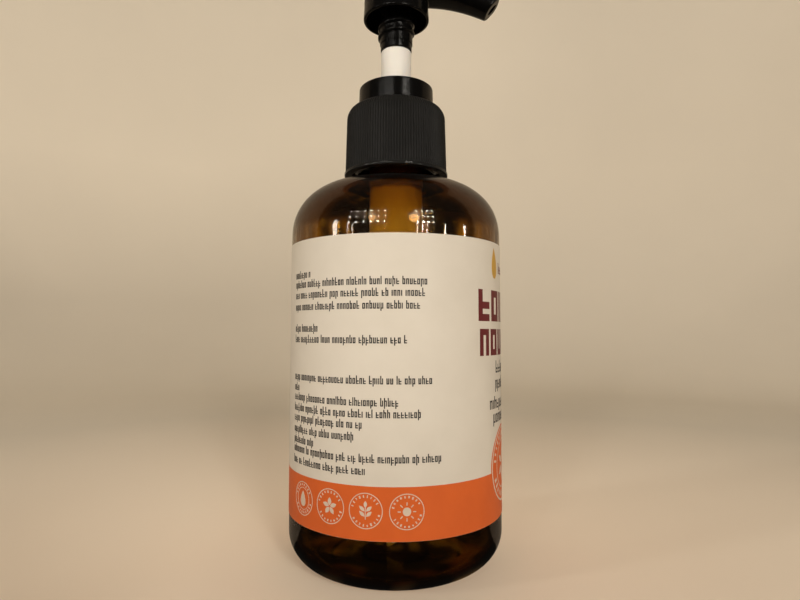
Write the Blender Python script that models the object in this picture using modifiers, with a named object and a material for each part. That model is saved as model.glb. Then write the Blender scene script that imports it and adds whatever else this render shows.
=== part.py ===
"""Pump oil bottle: a round amber bottle with a wrap label and a screw-down dispensing pump.

Fourteen separate pieces stand in one frame. The origin is the centre of the base, +Z is up
along the bottle's axis, and the nozzle points along +X. All heights below are millimetres
above the base, all radii are millimetres from the axis, and the pump is in its raised,
unlocked state.
"""
import math

import bmesh
import bpy
from mathutils import Matrix, Vector

MM = 0.001
COLLECTION = "pump_oil_bottle"
HELPERS = "cutters"

# Clearances between pieces that touch on the real object
GAP = 0.2            # nested round pieces, and pieces that run in each other
STACK_GAP = 0.15     # flat faces that rest on each other

# Facets around the axis
STEPS_LARGE = 32     # bottle, label, closure and what nests in them
STEPS_SMALL = 24     # pump pieces
STEPS_TUBE = 16      # dip tube

# Bottle
BODY_RADIUS = 30.0          # over the label
LABEL_THICKNESS = 0.15
GLASS_RADIUS = BODY_RADIUS - LABEL_THICKNESS - STACK_GAP
WALL = 0.9
BASE_THICKNESS = 1.4
HEEL_RADIUS = 9.5
SHOULDER_START = 89.7
SHOULDER_HEIGHT = 16.5
SHOULDER_POWER = 2.25       # a superellipse, a little squarer than an ellipse
GROOVE_DEPTH = 0.6          # ring groove under the base
GROOVE_OUTER = 18.5
GROOVE_INNER = 8.5
GROOVE_FLANK = 1.0          # radial width of each sloping side
LABEL_BOTTOM = 14.4
LABEL_TOP = 87.3

# Neck finish, nominal 24/410
NECK_RADIUS = 10.86         # root of the thread
NECK_BORE = 9.15
THREAD_RADIUS = 11.94       # crest of the thread
THREAD_PITCH = 3.175
NECK_THREAD_START = 115.4
NECK_THREAD_TURNS = 1.6
LIP = 123.6
LIP_CHAMFER = 0.4
BEAD_RADIUS = 12.4
BEAD_HEIGHT = 110.3
BEAD_HALF_EDGE = 0.5
BEAD_HALF_ROOT = 0.9

# Closure
CLOSURE_BOTTOM = 108.6
CLOSURE_BAND_TOP = 109.5
CLOSURE_BAND_RADIUS = 15.1
CLOSURE_RADIUS_LOW = 14.83
CLOSURE_RADIUS_HIGH = 14.44
CLOSURE_SHOULDER = 125.3
CLOSURE_TOP = 128.9
CLOSURE_HOLE = 11.2
CLOSURE_BORE = 12.85
CLOSURE_THREAD_START = 113.4
CLOSURE_THREAD_TURNS = 2.0
CLOSURE_RIDGE = 0.9

# Stack between the lip and the closure's top: gasket, housing flange, lock ring flange
GASKET_THICKNESS = 1.2
FLANGE_THICKNESS = 1.0
GASKET_BOTTOM = LIP + STACK_GAP
GASKET_TOP = GASKET_BOTTOM + GASKET_THICKNESS
FLANGE_BOTTOM = GASKET_TOP + STACK_GAP
FLANGE_TOP = FLANGE_BOTTOM + FLANGE_THICKNESS
FLANGE_RADIUS = 11.4

# Lock ring
RING_RADIUS_LOW = 11.0
RING_RADIUS_HIGH = 10.83
RING_TOP = 134.8
RING_FLANGE_RADIUS = 12.4
RING_FLANGE_TOP = 127.2
RING_GUIDE_BOTTOM = 122.5
RING_GUIDE_OUTER = 6.4
RING_CHAMFER = 0.5
RING_FLOOR = 1.1            # thickness of the dish's floor
RING_WELL = 6.9             # outer radius of the threaded well's wall
DISH_DEPTH = 1.6
LOCK_PITCH = 2.6
LOCK_ROOT = 5.65
LOCK_CREST = 5.05
LOCK_RIDGE = 0.75
LOCK_BOTTOM = 125.6         # where the stem's guide opens out into the threaded well
LOCK_THREAD_START = 129.2
LOCK_THREAD_TURNS = 1.6

# Pump housing
CYLINDER_OUTER = 7.75
CYLINDER_BORE = 6.6
SEAT_LEVEL = 76.3           # lower edge of the ball's conical seat
INLET_RADIUS = 1.4
BALL_RADIUS = 2.0
CHAMBER_RADIUS = 3.0
CAGE_FLOOR = 82.0
CAGE_RADIUS = 5.0
CAGE_HEIGHT = 2.5
CONE_TOP = CAGE_FLOOR + 4.0     # above the cage the bore widens to the cylinder's
FOOT_WALL = 1.15
SOCKET_BOTTOM = 67.0
SOCKET_TOP = 74.8
VENT_HEIGHT = 117.0
VENT_RADIUS = 0.5

# Ball retainer, which also seats the spring
RETAINER_PLATE = 1.25
RETAINER_HEIGHT = 4.3
RETAINER_GUIDE = 2.3
RETAINER_BORE = 1.6
FLOW_SLOT = (12.0, 1.2, 1.4)

# Dip tube
TUBE_OUTER = 2.5
TUBE_BORE = 1.9
TUBE_BOTTOM = 3.0
TUBE_SLANT = math.radians(30)

# Moving pieces
STEM_RADIUS = 4.46
STEM_BORE = 2.6
SPIGOT_RADIUS = 3.6
SPIGOT_TOP = 158.5
ROD_RADIUS = 2.4
ROD_BORE = 1.5
ROD_TOP = 131.0
FLARE_RADIUS = 4.3          # collar on the rod: spring seat below, valve face above
FLARE_THICKNESS = 2.2
FOOT_RADIUS = 2.2
FOOT_LENGTH = 3.3
PORT_RADIUS = 0.7
PISTON_BOTTOM = 113.5
PISTON_TOP = 121.0
PISTON_LIP = 6.45
SPRING_COILS = 8
SPRING_RADIUS = 3.6
WIRE_RADIUS = 0.4

# Actuator head
SLEEVE_BOTTOM = 146.6
SLEEVE_RADIUS = 4.62
SLEEVE_ROOT = 4.85
SLEEVE_THREAD = 149.6       # centre of the thread's first point
SLEEVE_CREST = 5.45
SKIRT_RIM = 155.9
SKIRT_RADIUS = 9.78
HEAD_RADIUS = 9.4
SKIRT_BORE = 8.95
SKIRT_SHOULDER = (9.57, 159.4)
HEAD_TOP = 171.2
CROWN_RADIUS = 3.0
CROWN_RISE = 0.3
CAVITY_DEPTH = 4.2          # from the crown down to the roof of the cavity
TIP_LOWER = (26.5, 157.3)
TIP_UPPER = (30.9, 162.2)
NOZZLE_ROOT = 3.2
NOZZLE_LOW = 161.6
NOZZLE_HIGH = 170.0
NOZZLE_WIDTH_ROOT = 11.2
NOZZLE_WIDTH_TIP = 7.8
NOZZLE_SQUARENESS = 2.6
CHANNEL_RADIUS = 1.6
CHANNEL_BEND = (17.0, 163.8)    # keeps the channel inside the drooping nozzle
RISER_RADIUS = 2.4
SLEEVE_THREAD_TURNS = 2.2


def clear_scene():
    for obj in list(bpy.data.objects):
        bpy.data.objects.remove(obj, do_unlink=True)


def collection(name):
    made = bpy.data.collections.new(name)
    bpy.context.scene.collection.children.link(made)
    return made


def material(name, color, roughness, metallic=0.0):
    made = bpy.data.materials.new(name)
    made.use_nodes = True
    shader = made.node_tree.nodes["Principled BSDF"]
    shader.inputs["Base Color"].default_value = (*color, 1.0)
    shader.inputs["Roughness"].default_value = roughness
    shader.inputs["Metallic"].default_value = metallic
    made.diffuse_color = (*color, 1.0)
    return made


def add_object(name, data, group):
    obj = bpy.data.objects.new(name, data)
    bpy.data.collections[group].objects.link(obj)
    if group == HELPERS:
        obj.hide_render = True
        obj.display_type = "WIRE"
    return obj


def turned(name, profile, steps, group=COLLECTION, closed=True):
    """Turn a profile of (radius, height) points, which runs down the outer side, about Z."""
    mesh = bpy.data.meshes.new(name)
    points = [(radius * MM, 0.0, height * MM) for radius, height in profile]
    edges = [(i, i + 1) for i in range(len(points) - 1)]
    if closed:
        edges.append((len(points) - 1, 0))
    mesh.from_pydata(points, edges, [])
    obj = add_object(name, mesh, group)
    screw = obj.modifiers.new("turn", "SCREW")
    screw.axis = "Z"
    screw.angle = 2 * math.pi
    screw.steps = steps
    screw.render_steps = steps
    screw.use_merge_vertices = True
    screw.merge_threshold = 0.00001
    return obj


def as_mesh(obj, weld=0.0):
    """Replace an object's data by its evaluated mesh, so that its modifiers are applied."""
    graph = bpy.context.evaluated_depsgraph_get()
    mesh = bpy.data.meshes.new_from_object(obj.evaluated_get(graph))
    if weld:
        shape = bmesh.new()
        shape.from_mesh(mesh)
        bmesh.ops.remove_doubles(shape, verts=shape.verts, dist=weld)
        shape.to_mesh(mesh)
        shape.free()
    group = obj.users_collection[0].name
    name = obj.name
    matrix = obj.matrix_world.copy()
    bpy.data.objects.remove(obj, do_unlink=True)
    made = add_object(name, mesh, group)
    made.matrix_world = matrix
    return made


def wire(name, points, radii, bevel, group):
    """A round wire through points, with the relative thickness radii."""
    curve = bpy.data.curves.new(name, "CURVE")
    curve.dimensions = "3D"
    curve.bevel_depth = bevel * MM
    curve.bevel_resolution = 2
    curve.use_fill_caps = True
    spline = curve.splines.new("POLY")
    spline.points.add(len(points) - 1)
    for point, place, radius in zip(spline.points, points, radii):
        point.co = (*(Vector(place) * MM), 1.0)
        point.radius = radius
    obj = add_object(name, curve, group)
    bpy.context.view_layer.update()
    return as_mesh(obj, weld=0.000001)


def thread_ridge(name, radius, start, pitch, turns, bevel):
    """A right-hand thread's ridge, as a wire on a helix that thins out at both ends."""
    points_per_turn = 16
    fade = 4
    count = round(turns * points_per_turn)
    points = []
    radii = []
    for i in range(count + 1):
        angle = 2 * math.pi * i / points_per_turn
        height = start + pitch * i / points_per_turn
        points.append((radius * math.cos(angle), radius * math.sin(angle), height))
        radii.append(min(1.0, 0.35 + 0.65 * min(i, count - i) / fade))
    return wire(name, points, radii, bevel, HELPERS)


def rod_cutter(name, start, end, radius, steps=16):
    """A cylinder from start to end, in millimetres."""
    start = Vector(start)
    end = Vector(end)
    shape = bmesh.new()
    bmesh.ops.create_cone(shape, cap_ends=True, segments=steps, radius1=radius * MM,
                          radius2=radius * MM, depth=(end - start).length * MM)
    turn = Vector((0, 0, 1)).rotation_difference(end - start).to_matrix().to_4x4()
    place = Matrix.Translation((start + end) / 2 * MM) @ turn
    bmesh.ops.transform(shape, matrix=place, verts=shape.verts)
    mesh = bpy.data.meshes.new(name)
    shape.to_mesh(mesh)
    shape.free()
    return add_object(name, mesh, HELPERS)


def combine(obj, other, operation):
    change = obj.modifiers.new(other.name, "BOOLEAN")
    change.operation = operation
    change.solver = "EXACT"
    change.object = other


def finish(obj, mat, smooth_angle=30):
    """Apply the modifiers, shade by angle and give the piece its material."""
    bpy.context.view_layer.update()
    made = as_mesh(obj)
    made.data.shade_smooth()
    made.data.set_sharp_from_angle(angle=math.radians(smooth_angle))
    made.data.materials.clear()
    made.data.materials.append(mat)
    return made


def arc(centre, radii, start, end, count):
    """Points on an ellipse's arc, angles in degrees from the outward direction."""
    points = []
    for i in range(count + 1):
        angle = math.radians(start + (end - start) * i / count)
        radius = centre[0] + radii[0] * math.cos(angle)
        points.append((radius, centre[1] + radii[1] * math.sin(angle)))
    return points


def shoulder(outer, inner, top, count):
    """The shoulder from the neck down to the side wall, on a superellipse."""
    width = outer - inner
    height = top - SHOULDER_START
    last = 78                       # degrees; the neck's fillet takes over above
    points = []
    for i in range(count + 1):
        angle = math.radians(last * (count - i) / count)
        across = math.cos(angle) ** (2 / SHOULDER_POWER)
        up = math.sin(angle) ** (2 / SHOULDER_POWER)
        points.append((inner + width * across, SHOULDER_START + height * up))
    return points


def build_bottle():
    top = SHOULDER_START + SHOULDER_HEIGHT
    heel = (GLASS_RADIUS - HEEL_RADIUS, HEEL_RADIUS)
    inner_heel = HEEL_RADIUS - WALL
    outside = [(NECK_RADIUS - LIP_CHAMFER, LIP), (NECK_RADIUS, LIP - LIP_CHAMFER)]
    outside += [(NECK_RADIUS, BEAD_HEIGHT + BEAD_HALF_ROOT)]
    outside += [(BEAD_RADIUS, BEAD_HEIGHT + BEAD_HALF_EDGE)]
    outside += [(BEAD_RADIUS, BEAD_HEIGHT - BEAD_HALF_EDGE)]
    outside += [(NECK_RADIUS, BEAD_HEIGHT - BEAD_HALF_ROOT)]
    outside += [(NECK_RADIUS, top + 1.2), (NECK_RADIUS + 0.4, top + 0.4)]
    outside += shoulder(GLASS_RADIUS, NECK_RADIUS, top, 8)
    outside += arc(heel, (HEEL_RADIUS, HEEL_RADIUS), 0, -90, 4)
    outside += [(GROOVE_OUTER, 0.0), (GROOVE_OUTER - GROOVE_FLANK, GROOVE_DEPTH)]
    outside += [(GROOVE_INNER + GROOVE_FLANK, GROOVE_DEPTH), (GROOVE_INNER, 0.0), (0.0, 0.0)]
    inside = [(0.0, BASE_THICKNESS)]
    inside += arc((heel[0], BASE_THICKNESS + inner_heel), (inner_heel, inner_heel), -90, 0, 3)
    inside += shoulder(GLASS_RADIUS - WALL, NECK_BORE, top - WALL, 6)[::-1]
    inside += [(NECK_BORE, top + 0.6), (NECK_BORE, LIP)]
    obj = turned("bottle", inside + outside, STEPS_LARGE, closed=False)
    ridge = THREAD_RADIUS - NECK_RADIUS + 0.1
    thread = thread_ridge("neck_thread", NECK_RADIUS - 0.1, NECK_THREAD_START, THREAD_PITCH,
                          NECK_THREAD_TURNS, ridge)
    combine(obj, thread, "UNION")
    return finish(obj, material("amber_plastic", (0.28, 0.10, 0.015), 0.08))


def build_label():
    inner = BODY_RADIUS - LABEL_THICKNESS
    profile = [(BODY_RADIUS, LABEL_TOP), (BODY_RADIUS, LABEL_BOTTOM)]
    profile += [(inner, LABEL_BOTTOM), (inner, LABEL_TOP)]
    obj = turned("label", profile, STEPS_LARGE)
    return finish(obj, material("label_paper", (0.80, 0.72, 0.58), 0.55))


def build_gasket():
    outer = FLANGE_RADIUS
    inner = CYLINDER_OUTER + 2 * GAP
    profile = [(outer, GASKET_TOP), (outer, GASKET_BOTTOM)]
    profile += [(inner, GASKET_BOTTOM), (inner, GASKET_TOP)]
    obj = turned("gasket", profile, STEPS_LARGE)
    return finish(obj, material("gasket_foam", (0.85, 0.85, 0.82), 0.8))


def build_closure():
    corner = (CLOSURE_HOLE, CLOSURE_SHOULDER)
    sweep = (CLOSURE_RADIUS_HIGH - CLOSURE_HOLE, CLOSURE_TOP - CLOSURE_SHOULDER)
    inner_top = RING_FLANGE_TOP + STACK_GAP
    profile = arc(corner, sweep, 90, 0, 5)
    profile += [(CLOSURE_RADIUS_LOW, CLOSURE_BAND_TOP), (CLOSURE_BAND_RADIUS, CLOSURE_BAND_TOP)]
    profile += [(CLOSURE_BAND_RADIUS, CLOSURE_BOTTOM), (CLOSURE_BORE, CLOSURE_BOTTOM)]
    profile += [(CLOSURE_BORE, inner_top), (CLOSURE_HOLE, inner_top)]
    obj = turned("closure", profile, STEPS_LARGE)
    reach = THREAD_RADIUS + GAP + CLOSURE_RIDGE
    thread = thread_ridge("closure_thread", reach, CLOSURE_THREAD_START, THREAD_PITCH,
                          CLOSURE_THREAD_TURNS, CLOSURE_RIDGE)
    combine(obj, thread, "UNION")
    return finish(obj, material("closure_plastic", (0.03, 0.028, 0.026), 0.45))


def build_lock_ring():
    under = FLANGE_TOP + STACK_GAP
    skirt_inner = FLANGE_RADIUS + GAP
    guide = STEM_RADIUS + GAP
    dish_outer = SKIRT_RADIUS + GAP
    dish = RING_TOP - DISH_DEPTH
    well_top = RING_TOP - 0.4
    core_outer = dish_outer - 0.2           # hollow under the dish
    core_inner = RING_WELL + 0.2
    profile = [(RING_RADIUS_HIGH - RING_CHAMFER, RING_TOP)]
    profile += [(RING_RADIUS_HIGH, RING_TOP - RING_CHAMFER)]
    profile += [(RING_RADIUS_LOW, CLOSURE_TOP), (RING_RADIUS_LOW, RING_FLANGE_TOP)]
    profile += [(RING_FLANGE_RADIUS, RING_FLANGE_TOP), (RING_FLANGE_RADIUS, FLANGE_BOTTOM)]
    profile += [(skirt_inner, FLANGE_BOTTOM), (skirt_inner, under), (core_outer, under)]
    profile += [(core_outer, dish - RING_FLOOR), (core_inner, dish - RING_FLOOR)]
    profile += [(core_inner, under), (RING_GUIDE_OUTER, under)]
    profile += [(RING_GUIDE_OUTER, RING_GUIDE_BOTTOM), (guide, RING_GUIDE_BOTTOM)]
    profile += [(guide, LOCK_BOTTOM), (LOCK_ROOT, LOCK_BOTTOM + 1.0), (LOCK_ROOT, well_top)]
    profile += [(RING_WELL, well_top), (RING_WELL, dish)]
    profile += [(dish_outer, dish), (dish_outer, RING_TOP)]
    obj = turned("lock_ring", profile, STEPS_LARGE)
    thread = thread_ridge("ring_thread", LOCK_CREST + LOCK_RIDGE, LOCK_THREAD_START, LOCK_PITCH,
                          LOCK_THREAD_TURNS, LOCK_RIDGE)
    combine(obj, thread, "UNION")
    return finish(obj, material("ring_plastic", (0.02, 0.018, 0.017), 0.18))


def build_housing():
    seat_top = SEAT_LEVEL + CHAMBER_RADIUS - INLET_RADIUS
    socket = TUBE_OUTER + GAP
    foot = CAGE_RADIUS + FOOT_WALL
    throat = CHAMBER_RADIUS + FOOT_WALL
    outside = [(FLANGE_RADIUS, FLANGE_TOP), (FLANGE_RADIUS, FLANGE_BOTTOM)]
    outside += [(CYLINDER_OUTER, FLANGE_BOTTOM), (CYLINDER_OUTER, CONE_TOP)]
    outside += [(foot, CAGE_FLOOR + 1.5), (foot, CAGE_FLOOR - 0.8)]
    outside += [(throat, CAGE_FLOOR - 2.0), (throat, SEAT_LEVEL - 0.7)]
    outside += [(socket + FOOT_WALL, SOCKET_TOP), (socket + FOOT_WALL, SOCKET_BOTTOM)]
    inside = [(socket, SOCKET_BOTTOM), (socket, SOCKET_TOP), (INLET_RADIUS, SOCKET_TOP)]
    inside += [(INLET_RADIUS, SEAT_LEVEL), (CHAMBER_RADIUS, seat_top)]
    inside += [(CHAMBER_RADIUS, CAGE_FLOOR), (CAGE_RADIUS, CAGE_FLOOR)]
    inside += [(CAGE_RADIUS, CAGE_FLOOR + CAGE_HEIGHT), (CYLINDER_BORE, CONE_TOP)]
    inside += [(CYLINDER_BORE, FLANGE_TOP)]
    obj = turned("housing", outside + inside, STEPS_SMALL)
    start = (0, CYLINDER_BORE - 1.6, VENT_HEIGHT)
    end = (0, CYLINDER_OUTER + 1.0, VENT_HEIGHT)
    combine(obj, rod_cutter("vent", start, end, VENT_RADIUS, 8), "DIFFERENCE")
    return finish(obj, material("housing_plastic", (0.75, 0.73, 0.68), 0.35))


def build_ball_retainer():
    bottom = CAGE_FLOOR + STACK_GAP
    plate = bottom + RETAINER_PLATE
    top = bottom + RETAINER_HEIGHT
    outer = CAGE_RADIUS - GAP
    profile = [(outer, plate), (outer, bottom), (RETAINER_BORE, bottom), (RETAINER_BORE, top)]
    profile += [(RETAINER_GUIDE, top), (RETAINER_GUIDE, plate)]
    obj = turned("ball_retainer", profile, STEPS_SMALL)
    for i in range(3):
        shape = bmesh.new()
        bmesh.ops.create_cube(shape, size=1.0)
        bmesh.ops.scale(shape, vec=Vector(FLOW_SLOT) * MM, verts=shape.verts)
        turn = Matrix.Rotation(math.radians(60 * i), 4, "Z")
        place = Matrix.Translation((0, 0, bottom * MM)) @ turn
        bmesh.ops.transform(shape, matrix=place, verts=shape.verts)
        mesh = bpy.data.meshes.new("flow_slot")
        shape.to_mesh(mesh)
        shape.free()
        combine(obj, add_object(f"flow_slot_{i + 1}", mesh, HELPERS), "DIFFERENCE")
    return finish(obj, material("retainer_plastic", (0.72, 0.72, 0.70), 0.4))


def build_inlet_ball():
    apex = SEAT_LEVEL - INLET_RADIUS
    centre = apex + (BALL_RADIUS + STACK_GAP) * math.sqrt(2)
    shape = bmesh.new()
    bmesh.ops.create_uvsphere(shape, u_segments=16, v_segments=8, radius=BALL_RADIUS * MM)
    bmesh.ops.translate(shape, vec=(0, 0, centre * MM), verts=shape.verts)
    mesh = bpy.data.meshes.new("inlet_ball")
    shape.to_mesh(mesh)
    shape.free()
    obj = add_object("inlet_ball", mesh, COLLECTION)
    return finish(obj, material("ball_glass", (0.75, 0.80, 0.78), 0.05))


def build_spring():
    """A compression spring with a closed coil at each end."""
    low = CAGE_FLOOR + STACK_GAP + RETAINER_PLATE + GAP + WIRE_RADIUS
    high = PISTON_BOTTOM - FLARE_THICKNESS - GAP - WIRE_RADIUS
    per_turn = 10
    closed_rise = 2.2 * WIRE_RADIUS
    count = SPRING_COILS * per_turn
    open_rise = (high - low - 2 * closed_rise) / (SPRING_COILS - 2)
    points = []
    for i in range(count + 1):
        coil = i / per_turn
        if coil <= 1:
            height = low + closed_rise * coil
        elif coil >= SPRING_COILS - 1:
            height = high - closed_rise * (SPRING_COILS - coil)
        else:
            height = low + closed_rise + open_rise * (coil - 1)
        angle = 2 * math.pi * coil
        x = SPRING_RADIUS * math.cos(angle)
        y = SPRING_RADIUS * math.sin(angle)
        points.append((x, y, height))
    obj = wire("spring", points, [1.0] * len(points), WIRE_RADIUS, COLLECTION)
    return finish(obj, material("spring_steel", (0.62, 0.62, 0.60), 0.25, 1.0), 60)


def build_piston():
    web_low = PISTON_BOTTOM + 3.1
    web_high = web_low + 1.2
    sleeve_inner = ROD_RADIUS + 0.15
    sleeve_outer = 3.4
    sleeve_top = PISTON_TOP - 1.5
    waist = PISTON_LIP - 0.25
    cup = waist - 0.6
    profile = [(PISTON_LIP, PISTON_TOP), (waist, PISTON_TOP - 1.4), (waist, PISTON_BOTTOM + 1.4)]
    profile += [(PISTON_LIP, PISTON_BOTTOM), (cup + 0.3, PISTON_BOTTOM), (cup, web_low)]
    profile += [(sleeve_outer, web_low), (sleeve_outer, PISTON_BOTTOM)]
    profile += [(sleeve_inner, PISTON_BOTTOM), (sleeve_inner, sleeve_top)]
    profile += [(sleeve_outer, sleeve_top), (sleeve_outer, web_high), (cup, web_high)]
    profile += [(cup + 0.3, PISTON_TOP)]
    obj = turned("piston", profile, STEPS_SMALL)
    return finish(obj, material("piston_plastic", (0.82, 0.82, 0.80), 0.4))


def build_piston_rod():
    """A hollow rod, closed at its foot, whose two ports the resting piston covers."""
    flare_top = PISTON_BOTTOM - GAP
    flare_bottom = PISTON_BOTTOM - FLARE_THICKNESS
    foot = flare_bottom - FOOT_LENGTH
    bore_end = flare_top - 0.3
    chamfer = 0.5
    profile = [(0.0, bore_end), (ROD_BORE, bore_end), (ROD_BORE, ROD_TOP)]
    profile += [(ROD_RADIUS, ROD_TOP), (ROD_RADIUS, flare_top), (FLARE_RADIUS, flare_top)]
    profile += [(FLARE_RADIUS, flare_bottom), (FOOT_RADIUS, flare_bottom)]
    profile += [(FOOT_RADIUS, foot + chamfer), (FOOT_RADIUS - chamfer, foot), (0.0, foot)]
    obj = turned("piston_rod", profile, STEPS_SMALL, closed=False)
    port = PISTON_BOTTOM + 0.2 + PORT_RADIUS
    reach = FLARE_RADIUS
    cutter = rod_cutter("rod_ports", (-reach, 0, port), (reach, 0, port), PORT_RADIUS, 12)
    combine(obj, cutter, "DIFFERENCE")
    return finish(obj, material("rod_plastic", (0.80, 0.78, 0.74), 0.4))


def build_stem():
    shoulder_height = SLEEVE_BOTTOM - GAP
    bottom = PISTON_TOP - 0.1
    profile = [(SPIGOT_RADIUS, SPIGOT_TOP), (SPIGOT_RADIUS, shoulder_height)]
    profile += [(STEM_RADIUS, shoulder_height), (STEM_RADIUS, bottom)]
    profile += [(STEM_BORE, bottom), (STEM_BORE, SPIGOT_TOP)]
    obj = turned("stem", profile, STEPS_SMALL)
    return finish(obj, material("stem_plastic", (0.86, 0.82, 0.74), 0.3))


def nozzle_station(t):
    """Lower point, upper point and half width of the nozzle's section at t, 0 root to 1 tip."""
    flat_end = HEAD_RADIUS + 0.1
    x_low = NOZZLE_ROOT + (TIP_LOWER[0] - NOZZLE_ROOT) * t
    x_high = NOZZLE_ROOT + (TIP_UPPER[0] - NOZZLE_ROOT) * t
    droop = max(0.0, (x_low - flat_end) / (TIP_LOWER[0] - flat_end))
    z_low = NOZZLE_LOW - (NOZZLE_LOW - TIP_LOWER[1]) * droop ** 1.9
    z_high = NOZZLE_HIGH - (NOZZLE_HIGH - TIP_UPPER[1]) * t ** 1.35
    half = (NOZZLE_WIDTH_ROOT + (NOZZLE_WIDTH_TIP - NOZZLE_WIDTH_ROOT) * t) / 2
    return Vector((x_low, 0, z_low)), Vector((x_high, 0, z_high)), half


def nozzle_solid():
    """A loft of rounded sections from the head's axis to the slanted tip."""
    stations = 9
    around = 16
    squareness = 2 / NOZZLE_SQUARENESS
    shape = bmesh.new()
    rings = []
    for s in range(stations + 1):
        low, high, half = nozzle_station(s / stations)
        ring = []
        for k in range(around):
            angle = 2 * math.pi * k / around
            side = math.copysign(abs(math.cos(angle)) ** squareness, math.cos(angle))
            up = math.copysign(abs(math.sin(angle)) ** squareness, math.sin(angle))
            place = (low + high) / 2 + (high - low) / 2 * up + Vector((0, half * side, 0))
            ring.append(shape.verts.new(place * MM))
        rings.append(ring)
    for near, far in zip(rings, rings[1:]):
        for k in range(around):
            n = (k + 1) % around
            shape.faces.new((near[k], near[n], far[n], far[k]))
    shape.faces.new(rings[0][::-1])
    shape.faces.new(rings[-1])
    bmesh.ops.recalc_face_normals(shape, faces=shape.faces)
    mesh = bpy.data.meshes.new("nozzle")
    shape.to_mesh(mesh)
    shape.free()
    return add_object("nozzle", mesh, HELPERS)


def build_actuator():
    """Head, skirt and threaded lock sleeve are one turned shape; the nozzle joins it."""
    cavity_top = HEAD_TOP - CAVITY_DEPTH
    socket = SPIGOT_RADIUS + GAP
    socket_top = SPIGOT_TOP + 0.4
    riser_top = NOZZLE_HIGH - 4.0
    crown = (HEAD_RADIUS - CROWN_RADIUS, HEAD_TOP - CROWN_RISE - CROWN_RADIUS)
    profile = [(0.0, HEAD_TOP), (crown[0], HEAD_TOP - CROWN_RISE)]
    profile += arc(crown, (CROWN_RADIUS, CROWN_RADIUS), 72, 0, 4)
    profile += [SKIRT_SHOULDER, (SKIRT_RADIUS, SKIRT_RIM), (SKIRT_BORE, SKIRT_RIM)]
    profile += [(HEAD_RADIUS - 1.0, cavity_top), (SLEEVE_ROOT, cavity_top)]
    profile += [(SLEEVE_ROOT, SLEEVE_THREAD - 0.9), (SLEEVE_RADIUS, SLEEVE_THREAD - 1.1)]
    profile += [(SLEEVE_RADIUS, SLEEVE_BOTTOM), (socket, SLEEVE_BOTTOM)]
    profile += [(socket, socket_top), (RISER_RADIUS, socket_top), (RISER_RADIUS, riser_top)]
    profile += [(0.0, riser_top)]
    obj = turned("actuator", profile, STEPS_LARGE, closed=False)
    combine(obj, nozzle_solid(), "UNION")
    thread = thread_ridge("sleeve_thread", SLEEVE_CREST - LOCK_RIDGE, SLEEVE_THREAD, LOCK_PITCH,
                          SLEEVE_THREAD_TURNS, LOCK_RIDGE)
    combine(obj, thread, "UNION")
    tip = (Vector((TIP_LOWER[0], 0, TIP_LOWER[1])) + Vector((TIP_UPPER[0], 0, TIP_UPPER[1]))) / 2
    start = Vector((0, 0, riser_top - 0.8))
    bend = Vector((CHANNEL_BEND[0], 0, CHANNEL_BEND[1]))
    beyond = bend + (tip - bend) * 1.4
    past_bend = start + (bend - start) * 1.02
    combine(obj, rod_cutter("channel_inner", start, past_bend, CHANNEL_RADIUS), "DIFFERENCE")
    combine(obj, rod_cutter("channel_outer", bend, beyond, CHANNEL_RADIUS), "DIFFERENCE")
    return finish(obj, material("head_plastic", (0.018, 0.016, 0.015), 0.15))


def build_dip_tube():
    """A straight tube, cut off at a slant above the base."""
    top = SOCKET_TOP - STACK_GAP
    cut = TUBE_BOTTOM + TUBE_OUTER * math.tan(TUBE_SLANT)
    profile = [(TUBE_OUTER, top), (TUBE_OUTER, cut), (TUBE_BORE, cut), (TUBE_BORE, top)]
    obj = finish(turned("dip_tube", profile, STEPS_TUBE),
                 material("tube_plastic", (0.80, 0.79, 0.74), 0.3))
    for vertex in obj.data.vertices:
        if vertex.co.z < top * MM / 2:
            vertex.co.z += vertex.co.x * math.tan(TUBE_SLANT)
    return obj


def main():
    clear_scene()
    collection(COLLECTION)
    collection(HELPERS)
    build_bottle()
    build_label()
    build_gasket()
    build_closure()
    build_lock_ring()
    build_housing()
    build_ball_retainer()
    build_inlet_ball()
    build_spring()
    build_piston()
    build_piston_rod()
    build_stem()
    build_actuator()
    build_dip_tube()


main()
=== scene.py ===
import random
from math import ceil, copysign, cos, pi, radians, sin, sqrt, tan

import bmesh
import bpy
from mathutils import Matrix, Vector


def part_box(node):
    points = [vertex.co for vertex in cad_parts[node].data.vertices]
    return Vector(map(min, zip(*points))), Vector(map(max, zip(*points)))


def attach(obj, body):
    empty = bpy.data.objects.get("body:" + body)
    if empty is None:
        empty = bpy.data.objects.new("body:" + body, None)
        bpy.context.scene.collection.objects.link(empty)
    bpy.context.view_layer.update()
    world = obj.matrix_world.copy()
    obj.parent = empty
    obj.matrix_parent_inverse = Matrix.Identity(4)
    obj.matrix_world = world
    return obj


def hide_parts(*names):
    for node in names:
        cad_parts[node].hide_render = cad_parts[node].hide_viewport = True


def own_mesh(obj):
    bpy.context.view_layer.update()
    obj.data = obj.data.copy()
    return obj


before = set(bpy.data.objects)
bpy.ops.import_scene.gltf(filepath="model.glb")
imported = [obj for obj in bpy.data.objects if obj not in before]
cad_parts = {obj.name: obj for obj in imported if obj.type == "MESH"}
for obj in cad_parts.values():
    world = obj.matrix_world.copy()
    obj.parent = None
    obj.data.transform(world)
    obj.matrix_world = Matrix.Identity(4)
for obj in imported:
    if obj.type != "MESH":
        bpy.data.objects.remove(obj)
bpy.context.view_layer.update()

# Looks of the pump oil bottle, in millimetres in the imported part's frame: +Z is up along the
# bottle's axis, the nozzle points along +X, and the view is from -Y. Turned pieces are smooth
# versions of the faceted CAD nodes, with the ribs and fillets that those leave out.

MM = 0.001

# ---- sizes taken from the frame


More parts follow.
